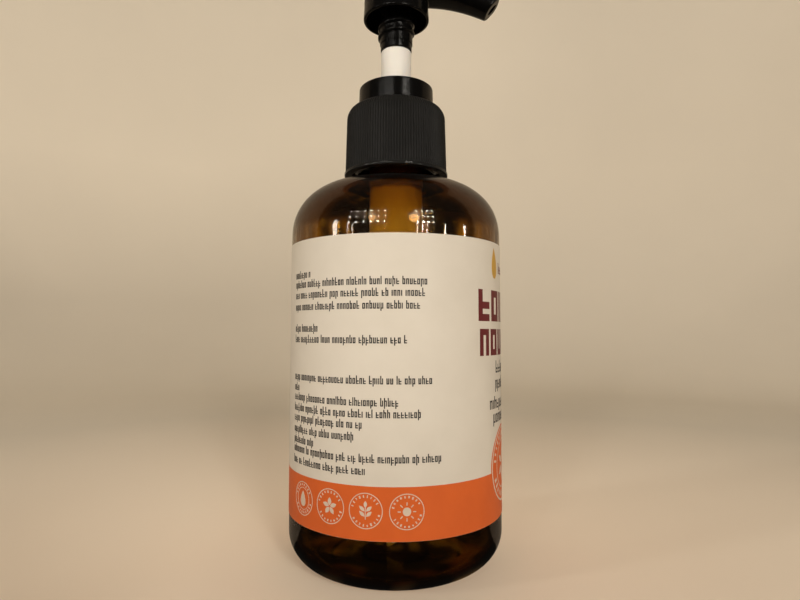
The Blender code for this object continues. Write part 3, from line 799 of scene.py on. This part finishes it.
def build_gasket():
    bore = 8.15

    def pressed(angle, radius, height):
        return -0.05 * (0.5 + 0.5 * sin(7 * angle)) if radius > bore + 1 else 0.0

    obj = turned("gasket_ring", [
        (GASKET_RADIUS, GASKET_TOP, 0.15), (GASKET_RADIUS, GASKET_BOTTOM, 0.15),
        (bore, GASKET_BOTTOM, 0.15), (bore, GASKET_TOP, 0.15)], 96, pressed)
    foam = plastic("gasket_foam_white", (0.82, 0.82, 0.78), (0.74, 0.74, 0.70), 0.8, grain=3500,
                   grain_depth=0.06)
    dress(obj, foam, "pump_unit", "gasket_foam", "gasket")


# ---- pump works

CYLINDER_OUTER = 7.75
CYLINDER_BORE = 6.6
CAGE_FLOOR = 82.0
CAGE_BORE = 5.0
CAGE_HEIGHT = 2.5
CONE_TOP = 86.0
FOOT_WALL = 1.15
CHAMBER_RADIUS = 3.0
INLET_RADIUS = 1.4
SEAT_LEVEL = 76.3
SOCKET_TOP = 74.8
SOCKET_BORE = TUBE_RADIUS + 0.2
VENT_HEIGHT = 117.0
VENT_RADIUS = 0.5


def build_housing():
    foot = CAGE_BORE + FOOT_WALL
    throat = CHAMBER_RADIUS + FOOT_WALL
    socket = SOCKET_BORE + FOOT_WALL
    obj = turned("housing_tube", [
        (HOUSING_FLANGE, HOUSING_TOP, 0.2), (HOUSING_FLANGE, FLANGE_BOTTOM, 0.2),
        (CYLINDER_OUTER, FLANGE_BOTTOM, 0.3), (CYLINDER_OUTER, CONE_TOP, 1.0),
        (foot, CAGE_FLOOR + 1.5, 1.0), (foot, CAGE_FLOOR - 0.8, 0.5),
        (throat, CAGE_FLOOR - 2.0, 0.5), (throat, SEAT_LEVEL - 0.7, 0.5),
        (socket, SOCKET_TOP, 0.5), (socket, SOCKET_BOTTOM, 0.3),
        (SOCKET_BORE, SOCKET_BOTTOM, 0.25), (SOCKET_BORE, SOCKET_TOP, 0.1),
        (INLET_RADIUS, SOCKET_TOP, 0.1), (INLET_RADIUS, SEAT_LEVEL, 0.1),
        (CHAMBER_RADIUS, SEAT_LEVEL + CHAMBER_RADIUS - INLET_RADIUS, 0.3),
        (CHAMBER_RADIUS, CAGE_FLOOR, 0.1), (CAGE_BORE, CAGE_FLOOR, 0.15),
        (CAGE_BORE, CAGE_FLOOR + CAGE_HEIGHT, 0.5), (CYLINDER_BORE, CONE_TOP, 1.0),
        (CYLINDER_BORE, HOUSING_TOP, 0.3)], 96)
    vent = rod("vent", (0.0, CYLINDER_BORE - 1.6, VENT_HEIGHT),
               (0.0, CYLINDER_OUTER + 1.0, VENT_HEIGHT), VENT_RADIUS)
    natural = plastic("natural_polypropylene", (0.62, 0.59, 0.51), (0.56, 0.53, 0.45), 0.5,
                      grain=5000, specular=0.1)
    dress(combined(obj, vent), natural, "pump_unit", "housing_plastic", "housing")
    return natural


def build_ball_retainer(natural):
    plate = CAGE_BOTTOM + 1.25
    guide = 2.3
    bore = 1.6
    obj = turned("ball_retainer_turned", [
        (CAGE_RADIUS, plate, 0.2), (CAGE_RADIUS, CAGE_BOTTOM, 0.2), (bore, CAGE_BOTTOM, 0.1),
        (bore, CAGE_TOP, 0.15), (guide, CAGE_TOP, 0.4), (guide, plate, 0.3)], 72)
    for turn in (0, 60, 120):
        cutter = rod("slot", (-6, 0, CAGE_BOTTOM), (6, 0, CAGE_BOTTOM), 0.65)
        cutter.data.transform(Matrix.Rotation(radians(turn), 4, "Z"))
        obj = combined(obj, cutter)
    dress(obj, natural, "pump_unit", "housing_plastic", "ball_retainer")


def build_inlet_ball():
    middle = (BALL_BOTTOM + BALL_TOP) / 2
    arc = [(BALL_RADIUS * sin(a), middle + BALL_RADIUS * cos(a))
           for a in steps(0.0, pi, 24)[1:-1]]
    obj = lathe("inlet_ball_ground", [(0.0, BALL_TOP)] + arc + [(0.0, BALL_BOTTOM)], 48)
    glass = clear_material("ball_clear_glass", 1.52, 0.012)[0]
    dress(obj, glass, "inlet_ball", "ball_glass", "inlet_ball")


def sweep(name, path, radii):
    """A round bar along a path of points, with a radius for each point."""
    shape = bmesh.new()
    rings = []
    for i, (place, radius) in enumerate(zip(path, radii)):
        along = (path[min(i + 1, len(path) - 1)] - path[max(i - 1, 0)]).normalized()
        out = Vector((place.x, place.y, 0.0)).normalized()
        out = (out - along * out.dot(along)).normalized()
        over = along.cross(out)
        rings.append([shape.verts.new((place + (out * cos(a) + over * sin(a)) * radius)
                                      * MM) for a in around(WIRE_SIDES)])
    bridge(shape, rings)
    return made_object(name, shape)


def rod(name, start, end, radius, sides=24):
    """A round bar between two points, for cutting holes."""
    shape = bmesh.new()
    start = Vector(start)
    end = Vector(end)
    turn = Vector((0, 0, 1)).rotation_difference(end - start).to_matrix().to_4x4()
    bmesh.ops.create_cone(shape, cap_ends=True, segments=sides, radius1=radius * MM,
                          radius2=radius * MM, depth=(end - start).length * MM,
                          matrix=Matrix.Translation((start + end) / 2 * MM) @ turn)
    return made_object(name, shape)


SPRING_COILS = 8
WIRE_RADIUS = 0.4
COIL_STEPS = 40
WIRE_SIDES = 12


def build_spring():
    """A compression spring with a closed, tapered coil at each end."""
    radius = SPRING_OUTER - WIRE_RADIUS
    low = SPRING_BOTTOM + WIRE_RADIUS
    high = SPRING_TOP - WIRE_RADIUS
    closed_rise = 2.2 * WIRE_RADIUS
    open_rise = (high - low - 2 * closed_rise) / (SPRING_COILS - 2)
    path = []
    radii = []
    for i in range(SPRING_COILS * COIL_STEPS + 1):
        coil = i / COIL_STEPS
        height = (low + closed_rise * (min(coil, 1) + max(0, coil - SPRING_COILS + 1))
                  + open_rise * min(max(coil - 1, 0), SPRING_COILS - 2))
        angle = 2 * pi * coil
        path.append(Vector((radius * cos(angle), radius * sin(angle), height)))
        end = min(coil, SPRING_COILS - coil)
        radii.append(WIRE_RADIUS * (0.82 + 0.18 * smoothstep(end / 0.25)))
    obj = sweep("spring_wire", path, radii)
    made, tree, shader = new_material("stainless_wire", {"Metallic": 1.0})
    drawn = noise(tree, 9000, 3.0, stretch=(1.0, 1.0, 0.15))
    tone = remap(tree, drawn, 0.3, 0.7)
    feed(shader, {"Base Color": blend(tree, tone, (0.66, 0.65, 0.63), (0.54, 0.53, 0.51)),
                  "Roughness": remap(tree, drawn, 0.3, 0.7, 0.18, 0.32)})
    dress(obj, made, "pump_unit", "spring_steel", "spring")
    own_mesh(obj)


def build_piston():
    web_low = PISTON_BOTTOM + 3.1
    web_high = web_low + 1.2
    bore = 2.55
    sleeve = 3.4
    sleeve_top = PISTON_TOP - 1.5
    waist = PISTON_RADIUS - 0.25
    cup = waist - 0.6
    obj = turned("piston_seal", [
        (PISTON_RADIUS, PISTON_TOP, 0.1), (waist, PISTON_TOP - 1.4, 0.8),
        (waist, PISTON_BOTTOM + 1.4, 0.8), (PISTON_RADIUS, PISTON_BOTTOM, 0.1),
        (cup + 0.3, PISTON_BOTTOM, 0.1), (cup, web_low, 0.4), (sleeve, web_low, 0.4),
        (sleeve, PISTON_BOTTOM, 0.15), (bore, PISTON_BOTTOM, 0.15), (bore, sleeve_top, 0.15),
        (sleeve, sleeve_top, 0.15), (sleeve, web_high, 0.4), (cup, web_high, 0.4),
        (cup + 0.3, PISTON_TOP, 0.1)], 96)
    white = plastic("white_polyethylene", (0.78, 0.78, 0.75), (0.72, 0.72, 0.69), 0.42,
                    subsurface=0.2)
    dress(obj, white, "piston", "piston_plastic", "piston")


def build_piston_rod():
    flare_top = PISTON_BOTTOM - 0.2
    flare_bottom = PISTON_BOTTOM - 2.2
    floor = flare_top - 0.3
    radius = 2.4
    bore = 1.5
    port = 0.7
    foot = 2.2
    obj = lathe("piston_rod_turned", rounded([
        (0.0, floor), (bore, floor, 0.3), (bore, ROD_TOP, 0.15), (radius, ROD_TOP, 0.25),
        (radius, flare_top, 0.25), (FLARE_RADIUS, flare_top, 0.3),
        (FLARE_RADIUS, flare_bottom, 0.3), (foot, flare_bottom, 0.2), (foot, ROD_BOTTOM, 0.6),
        (0.0, ROD_BOTTOM)]), 72)
    level = PISTON_BOTTOM + 0.2 + port
    ports = rod("ports", (-FLARE_RADIUS, 0, level), (FLARE_RADIUS, 0, level), port)
    white = plastic("rod_white", (0.76, 0.73, 0.67), (0.71, 0.68, 0.62), 0.38, subsurface=0.2)
    dress(combined(obj, ports), white, "plunger", "stem_plastic", "piston_rod")


def build_stem():
    spigot = 3.6
    bore = 2.6
    shoulder = SLEEVE_BOTTOM - 0.2
    obj = turned("stem_turned", [
        (spigot, SPIGOT_TOP, 0.3), (spigot, shoulder, 0.15), (STEM_RADIUS, shoulder, 0.3),
        (STEM_RADIUS, STEM_BOTTOM, 0.4), (bore, STEM_BOTTOM, 0.3), (bore, SPIGOT_TOP, 0.3)], 96)
    white = plastic("stem_white", (0.93, 0.89, 0.82), (0.90, 0.86, 0.79), 0.34, grain=4000,
                    subsurface=0.15)
    dress(obj, white, "head", "stem_plastic", "stem")


def build_dip_tube():
    """A straight tube, cut off at a slant above the base."""
    slant = tan(radians(30))
    bore = 1.9
    cut = TUBE_BOTTOM + TUBE_RADIUS * slant
    obj = turned("dip_tube_extruded", [
        (TUBE_RADIUS, TUBE_TOP, 0.15), (TUBE_RADIUS, cut, 0.05), (bore, cut, 0.05),
        (bore, TUBE_TOP, 0.15)], 48)
    for vertex in obj.data.vertices:
        if vertex.co.z < TUBE_TOP * MM / 2:
            vertex.co.z += vertex.co.x * slant
    made = plastic("tube_natural", (0.72, 0.70, 0.64), (0.68, 0.66, 0.60), 0.3, grain=2500,
                   grain_depth=0.01, subsurface=0.3)
    dress(obj, made, "pump_unit", "tube_plastic", "dip_tube")


# ---- actuator head

SLEEVE_RADIUS = 4.62
SLEEVE_ROOT = 4.85
SLEEVE_CREST = 5.45
SLEEVE_THREAD = 149.6
SKIRT_RIM = 155.9
SKIRT_BORE = 8.95
SKIRT_SHOULDER = (9.57, 159.4)
HEAD_RADIUS = 9.4
CROWN_RADIUS = 3.0
CROWN_RISE = 0.3
CAVITY_DEPTH = 4.2
TIP_LOWER = (26.5, 157.3)
TIP_UPPER = (NOZZLE_REACH, 162.2)
NOZZLE_ROOT = 3.2
NOZZLE_LOW = 161.6
NOZZLE_HIGH = 170.0
NOZZLE_WIDTH_ROOT = 11.2
NOZZLE_WIDTH_TIP = 7.8
NOZZLE_SQUARENESS = 2.6
NOZZLE_STATIONS = 40
NOZZLE_SIDES = 64
LOWER_DROOP = 1.9
UPPER_DROOP = 1.35
CHANNEL_RADIUS = 1.6
CHANNEL_BEND = (17.0, 163.8)
RISER_RADIUS = 2.4


def build_nozzle():
    """The nozzle as a loft of rounded sections that droop, with a rounded edge at its tip."""
    shares = [(s / NOZZLE_STATIONS, 1.0) for s in range(NOZZLE_STATIONS)]
    shares += [(0.985, 1.0), (0.995, 0.975), (1.0, 0.93)]
    flat_end = HEAD_RADIUS + 0.1
    shape = bmesh.new()
    rings = []
    for t, size in shares:
        x = NOZZLE_ROOT + (TIP_LOWER[0] - NOZZLE_ROOT) * t
        droop = max(0.0, (x - flat_end) / (TIP_LOWER[0] - flat_end)) ** LOWER_DROOP
        low = Vector((x, 0, NOZZLE_LOW - (NOZZLE_LOW - TIP_LOWER[1]) * droop))
        high = Vector((NOZZLE_ROOT + (TIP_UPPER[0] - NOZZLE_ROOT) * t, 0,
                       NOZZLE_HIGH - (NOZZLE_HIGH - TIP_UPPER[1]) * t ** UPPER_DROOP))
        half = (NOZZLE_WIDTH_ROOT + (NOZZLE_WIDTH_TIP - NOZZLE_WIDTH_ROOT) * t) / 2
        ring = []
        for angle in around(NOZZLE_SIDES):
            side = signed_power(cos(angle), 2 / NOZZLE_SQUARENESS) * size
            up = signed_power(sin(angle), 2 / NOZZLE_SQUARENESS) * size
            place = (low + high) / 2 + (high - low) / 2 * up + Vector((0, half * side, 0))
            ring.append(shape.verts.new(place * MM))
        rings.append(ring)
    bridge(shape, rings)
    return made_object("nozzle", shape)


def blended(obj, voxel, rounds):
    """obj remeshed evenly and smoothed, so that its parts run into each other."""
    remesh = obj.modifiers.new("remesh", "REMESH")
    remesh.mode = "VOXEL"
    remesh.voxel_size = voxel * MM
    ease = obj.modifiers.new("ease", "SMOOTH")
    ease.factor = 0.5
    ease.iterations = rounds
    return applied(obj)


def build_actuator():
    """Head, skirt, lock sleeve and nozzle are one moulding, hollow under the crown."""
    crown = (HEAD_RADIUS - CROWN_RADIUS, HEAD_TOP - CROWN_RISE - CROWN_RADIUS)
    cavity_top = HEAD_TOP - CAVITY_DEPTH
    outside = [(0.0, HEAD_TOP), (crown[0] / 2, HEAD_TOP - CROWN_RISE / 4)]
    outside += superellipse(crown, (CROWN_RADIUS, CROWN_RADIUS), 2, 84, 0, 12)
    outside += rounded([outside[-1], (*SKIRT_SHOULDER, 4.0), (SKIRT_RADIUS, SKIRT_RIM, 0.3),
                        (SKIRT_BORE - 1, SKIRT_RIM)])[1:]
    obj = lathe("actuator_head", outside + [(0.0, SKIRT_RIM)], 128)
    obj = blended(combined(obj, build_nozzle(), "UNION"), 0.2, 6)
    under = SKIRT_RIM - 2
    hollow = rounded([(SLEEVE_ROOT + 0.4, under), (SKIRT_BORE + 0.12, under),
                      (SKIRT_BORE, SKIRT_RIM + 0.25, 0.3), (HEAD_RADIUS - 1.0, cavity_top, 1.2),
                      (SLEEVE_ROOT, cavity_top, 0.6), (SLEEVE_ROOT, under)])
    obj = combined(obj, lathe("hollow", hollow, 128))
    socket = 3.8
    socket_top = SPIGOT_TOP + 0.4
    riser_top = NOZZLE_HIGH - 4.0
    well = rounded([(0.0, riser_top), (RISER_RADIUS, riser_top, 0.5),
                    (RISER_RADIUS, socket_top, 0.2), (socket, socket_top, 0.2),
                    (socket, under), (0.0, under)])
    obj = combined(obj, lathe("well", well, 96))
    sleeve = rounded([(SLEEVE_ROOT + 0.02, cavity_top + 0.5),
                      (SLEEVE_ROOT, SLEEVE_THREAD - 0.9, 0.2),
                      (SLEEVE_RADIUS, SLEEVE_THREAD - 1.1, 0.2),
                      (SLEEVE_RADIUS, SLEEVE_BOTTOM, 0.3), (socket, SLEEVE_BOTTOM, 0.3),
                      (socket + 0.02, cavity_top + 0.5)], closed=True)
    sleeve = refined(sleeve, SLEEVE_THREAD - 1.2, SLEEVE_THREAD + 7.5, 0.25)
    ridges = thread(SLEEVE_ROOT, SLEEVE_CREST, SLEEVE_THREAD, LOCK_PITCH, 2.2, 0.75)
    obj = combined(obj, lathe("sleeve", sleeve, 96, ridges), "UNION")
    start = Vector((0, 0, riser_top - 0.8))
    bend = Vector((CHANNEL_BEND[0], 0, CHANNEL_BEND[1]))
    tip = Vector((TIP_LOWER[0] + TIP_UPPER[0], 0, TIP_LOWER[1] + TIP_UPPER[1])) / 2
    for near, far in ((start, start + (bend - start) * 1.02), (bend, bend + (tip - bend) * 1.4)):
        obj = combined(obj, rod("channel", near, far, CHANNEL_RADIUS, 40))
    obj.data.shade_smooth()
    obj.data.set_sharp_from_angle(angle=radians(35))
    dress(obj, gloss_black("head_black"), "head", "head_plastic", "actuator")


# ---- room, light and camera

CAMERA_PLACE = (1.22, -166.4, 63.4)
CAMERA_PITCH = 3.19
CAMERA_ROLL = 0.07
LENS = 25.75


def build_camera():
    data = bpy.data.cameras.new("view")
    data.lens = LENS
    data.sensor_width = 36.0
    data.clip_start = 0.005
    camera = new_object("view", data)
    camera.matrix_world = (Matrix.Translation(Vector(CAMERA_PLACE) * MM)
                           @ Matrix.Rotation(radians(90.0 + CAMERA_PITCH), 4, "X")
                           @ Matrix.Rotation(radians(CAMERA_ROLL), 4, "Z"))
    bpy.context.scene.camera = camera


FLOOR_RADIUS = 0.45  # metres, as are the other sizes of the room
SWEEP = 0.3
BACKDROP_TOP = 1.2
STAGE_STEPS = 48
CREAM = (0.80, 0.72, 0.60)
# Painted shade: the board's colour is made darker there, as if in shadow.
PAINTED_BACK_SHADE = (0.1, 0.085, 0.065)  # low on the backdrop, behind the object
# Painted light: the backdrop glows, more the higher up and the further left, in place of light
# falling on it.
PAINTED_BACKDROP_LIGHT = (0.60, 0.50, 0.36)
# Painted light: a pool of glow on the floor round and behind the bottle.
PAINTED_FLOOR_POOL = (0.22, 0.15, 0.095)
# Painted shadow: what a wall close behind shows through the bottle, as if it lay in the bottle's
# shadow.
PAINTED_SHADOW = (0.014, 0.012, 0.010)
ROOM_LIGHT = (0.06, 0.05, 0.04)  # the room beyond the backdrop, as a light
ROOM_SEEN = (0.46, 0.38, 0.29)  # and as the camera sees it past the backdrop's ends
# Painted light on that wall: its lit sides and its lit patches, seen only through the bottle and in
# reflections.
PAINTED_LIT_WALL = (0.26, 0.19, 0.12)
PAINTED_LIT_PATCH = (0.70, 0.55, 0.32)
# Painted light: a caustic ring of glow under the heel, seen through the bottle.
PAINTED_HEEL_CAUSTIC = (0.22, 0.12, 0.045)


def painted_view_through(tree):
    """What is seen through the bottle, all painted as colour: a painted shadow of the bottle on a
    wall close behind, but for painted lit parts at its sides and some low painted lit patches, and a
    painted ring of caustic light under the heel."""
    place = split_place(tree)
    aside = add_node(tree, "ShaderNodeMath", {0: place["X"]}, operation="ABSOLUTE")
    sides = remap(tree, aside.outputs["Value"], 0.125, 0.17)
    above = remap(tree, place["Z"], 0.33, 0.40)
    patches = remap(tree, noise(tree, 38, 0.0, stretch=(1.0, 1.0, 0.0)), 0.52, 0.62)
    low = remap(tree, place["Z"], 0.30, 0.265)
    high = remap(tree, place["Z"], 0.05, 0.1)
    spots = product(tree, product(tree, patches, low), high)
    lit = largest(tree, product(tree, sides, high), above)
    # Painted shadow on the wall, with painted lit sides and painted lit patches over it.
    wall = blend(tree, spots, blend(tree, lit, PAINTED_SHADOW, PAINTED_LIT_WALL), PAINTED_LIT_PATCH)
    # Painted caustic: a streaky ring of light under the heel.
    away = distance(tree)
    ring = product(tree, remap(tree, away, 0.014, 0.019), remap(tree, away, 0.022, 0.030, 1.0, 0.0))
    streaks = remap(tree, noise(tree, 70, 1.0), 0.46, 0.66)
    return blend(tree, product(tree, ring, streaks), wall, PAINTED_HEEL_CAUSTIC)


def cream(name, painted_light, mirrored):
    """Matt cream board with painted light: it glows more the higher it is and more to the left, with
    a painted pool of glow on the floor round and behind the bottle and painted shade behind the
    object, and it looks dark through the bottle by painted shade.
    mirrored says how much of that painted shade its mirror images have.
    """
    made, tree, shader = new_material(name, {"Roughness": 0.9, "Specular IOR Level": 0.2,
                                             "Emission Strength": 1.0})
    place = split_place(tree)
    cloud = remap(tree, noise(tree, 6), 0.3, 0.7)
    board = blend(tree, cloud, CREAM, tuple(0.97 * c for c in CREAM))
    # Painted shade: a darker board colour behind the object.
    back = product(tree, remap(tree, place["Z"], 0.02, 0.12),
                   remap(tree, place["Y"], 0.55, 0.1, 0.0, 0.6))
    # Painted light: the glow grows with height and towards the left.
    lift = product(tree, remap(tree, place["Z"], 0.1, 0.5),
                   remap(tree, place["X"], -0.3, 0.3, 1.9, 0.4))
    # Painted light: a pool of glow on the floor near the bottle.
    near = product(tree, remap(tree, distance(tree), 0.06, 0.3, 1.0, 0.0),
                   remap(tree, place["Y"], -0.06, -0.03))
    painted_pool = blend(tree, near, (0.0, 0.0, 0.0), PAINTED_FLOOR_POOL)
    feed(shader, {"Base Color": blend(tree, back, board, PAINTED_BACK_SHADE),
                  "Emission Color": blend(tree, lift, painted_pool, tuple(painted_light * c for c in PAINTED_BACKDROP_LIGHT))})
    shade = add_node(tree, "ShaderNodeEmission", {"Color": painted_view_through(tree)})
    path = add_node(tree, "ShaderNodeLightPath")
    # Transmission rays, and glossy rays as far as mirrored says, see the painted shade instead of
    # the board: painted dark reflections and a painted view through the bottle.
    painted_reflections = product(tree, path.outputs["Is Glossy Ray"], mirrored)
    blend_shaders(tree, largest(tree, path.outputs["Is Transmission Ray"], painted_reflections),
                  shader.outputs["BSDF"], shade.outputs["Emission"])
    return made


def swept(name, outline, start, end):
    """An open sheet: an outline of (distance, height) in metres turned from start to end degrees."""
    shape = bmesh.new()
    columns = [[shape.verts.new((r * cos(angle), r * sin(angle), z)) for r, z in outline]
               for angle in map(radians, steps(start, end, STAGE_STEPS))]
    bridge(shape, columns, closed=False, capped=False)
    bmesh.ops.remove_doubles(shape, verts=shape.verts, dist=1e-5)
    return made_object(name, shape)


def build_stage():
    """A pale floor that curves up into a half-round backdrop behind the object, and a card that
    shades the lower half from the lamps, as whoever holds the camera does."""
    curve = [(FLOOR_RADIUS + SWEEP * sin(a), SWEEP - SWEEP * cos(a))
             for a in steps(0.0, pi / 2, 12)]
    backdrop = swept("backdrop", [(0.0, 0.0), (FLOOR_RADIUS / 2, 0.0)] + curve
                     + [(FLOOR_RADIUS + SWEEP, BACKDROP_TOP)], 0, 180)
    floor = swept("floor_front", [(0.0, 0.0), (FLOOR_RADIUS, 0.0)], 180, 360)
    shape = bmesh.new()
    corners = ((-0.16, 0.02), (0.0, 0.02), (0.0, 0.106), (-0.16, 0.106))
    shape.faces.new([shape.verts.new((x, -0.20, z)) for x, z in corners])
    card = made_object("flag", shape)
    for obj, painted_light, mirrored in ((backdrop, 0.25, 0.75), (floor, 0.0, 1.0), (card, 0.0, 0.0)):
        obj.data.materials.append(cream(obj.name + "_cream", painted_light, mirrored))
    for sight in ("camera", "diffuse", "glossy", "transmission"):
        setattr(card, "visible_" + sight, False)


def lamp(name, azimuth, elevation, radius, light, tall=1.0, mirrored=True):
    """A round or tall lamp towards an azimuth from the view direction; light is what falls on
    the bottle. A lamp that isn't mirrored is left out of reflections."""
    turn = radians(azimuth)
    rise = radians(elevation)
    aim = Vector((sin(turn) * cos(rise), -cos(turn) * cos(rise), sin(rise)))
    data = bpy.data.lights.new(name, "AREA")
    data.shape = "ELLIPSE"
    data.size = 2 * radius
    data.size_y = 2 * radius * tall
    data.energy = light * pi * LAMP_DISTANCE ** 2
    data.color = LAMP_COLOUR
    obj = new_object(name, data)
    obj.location = Vector((0.0, 0.0, LAMP_AIM)) + aim * LAMP_DISTANCE
    obj.rotation_euler = aim.to_track_quat("Z", "Y").to_euler()
    obj.visible_glossy = mirrored


LAMP_DISTANCE = 1.5
LAMP_AIM = 0.09  # height that the lamps point at
LAMP_COLOUR = (1.0, 0.935, 0.84)
LAMP_ROWS = (27.0, 19.0, 13.0)
LAMP_COLUMNS = ((-50.0, 0.012), (-42.0, 0.012), (-33.0, 0.02), (-26.0, 0.025), (-18.0, 0.025),
                (-11.0, 0.025), (23.0, 0.04), (29.0, 0.04), (34.0, 0.03), (40.0, 0.02))
STREAKS = ((-51.0, 0.02), (-45.5, 0.02), (22.5, 0.03), (28.0, 0.04), (33.0, 0.03))
LARGE_LAMPS = (
    ("window_left", -66.0, 12.0, 0.07, 0.10, 1.5),
    ("side_right", 53.0, 10.0, 0.016, 0.06, 4.0), ("edge_right", 77.0, 11.0, 0.03, 0.03),
    ("key_right", 20.0, 19.0, 0.15, 1.18, 1.0, False),
    ("key_left", -25.0, 19.0, 0.12, 0.55, 1.0, False),
    ("fill_left", -66.0, 12.0, 0.10, 0.48, 1.0, False))


def build_lights():
    for row, elevation in enumerate(LAMP_ROWS):
        for column, (azimuth, light) in enumerate(LAMP_COLUMNS):
            lamp(f"lamp_{row}_{column}", azimuth, elevation, 0.018, light)
    for column, (azimuth, light) in enumerate(STREAKS):
        lamp(f"streak_{column}", azimuth, 9.5, 0.012, light, tall=7.0)
    for settings in LARGE_LAMPS:
        lamp(*settings)
    scene = bpy.context.scene
    scene.world = bpy.data.worlds.new("room")
    scene.world.use_nodes = True
    tree = scene.world.node_tree
    path = add_node(tree, "ShaderNodeLightPath")
    seen = blend(tree, path.outputs["Is Camera Ray"], ROOM_LIGHT, ROOM_SEEN)
    feed(tree.nodes["Background"], {"Color": seen})
    scene.view_settings.view_transform = "Standard"


for build in (build_camera, build_stage, build_lights, build_bottle, build_label, build_text,
              build_badges, build_closure, build_lock_ring, build_gasket):
    build()
build_ball_retainer(build_housing())
for build in (build_inlet_ball, build_spring, build_piston, build_piston_rod, build_stem,
              build_dip_tube, build_actuator):
    build()
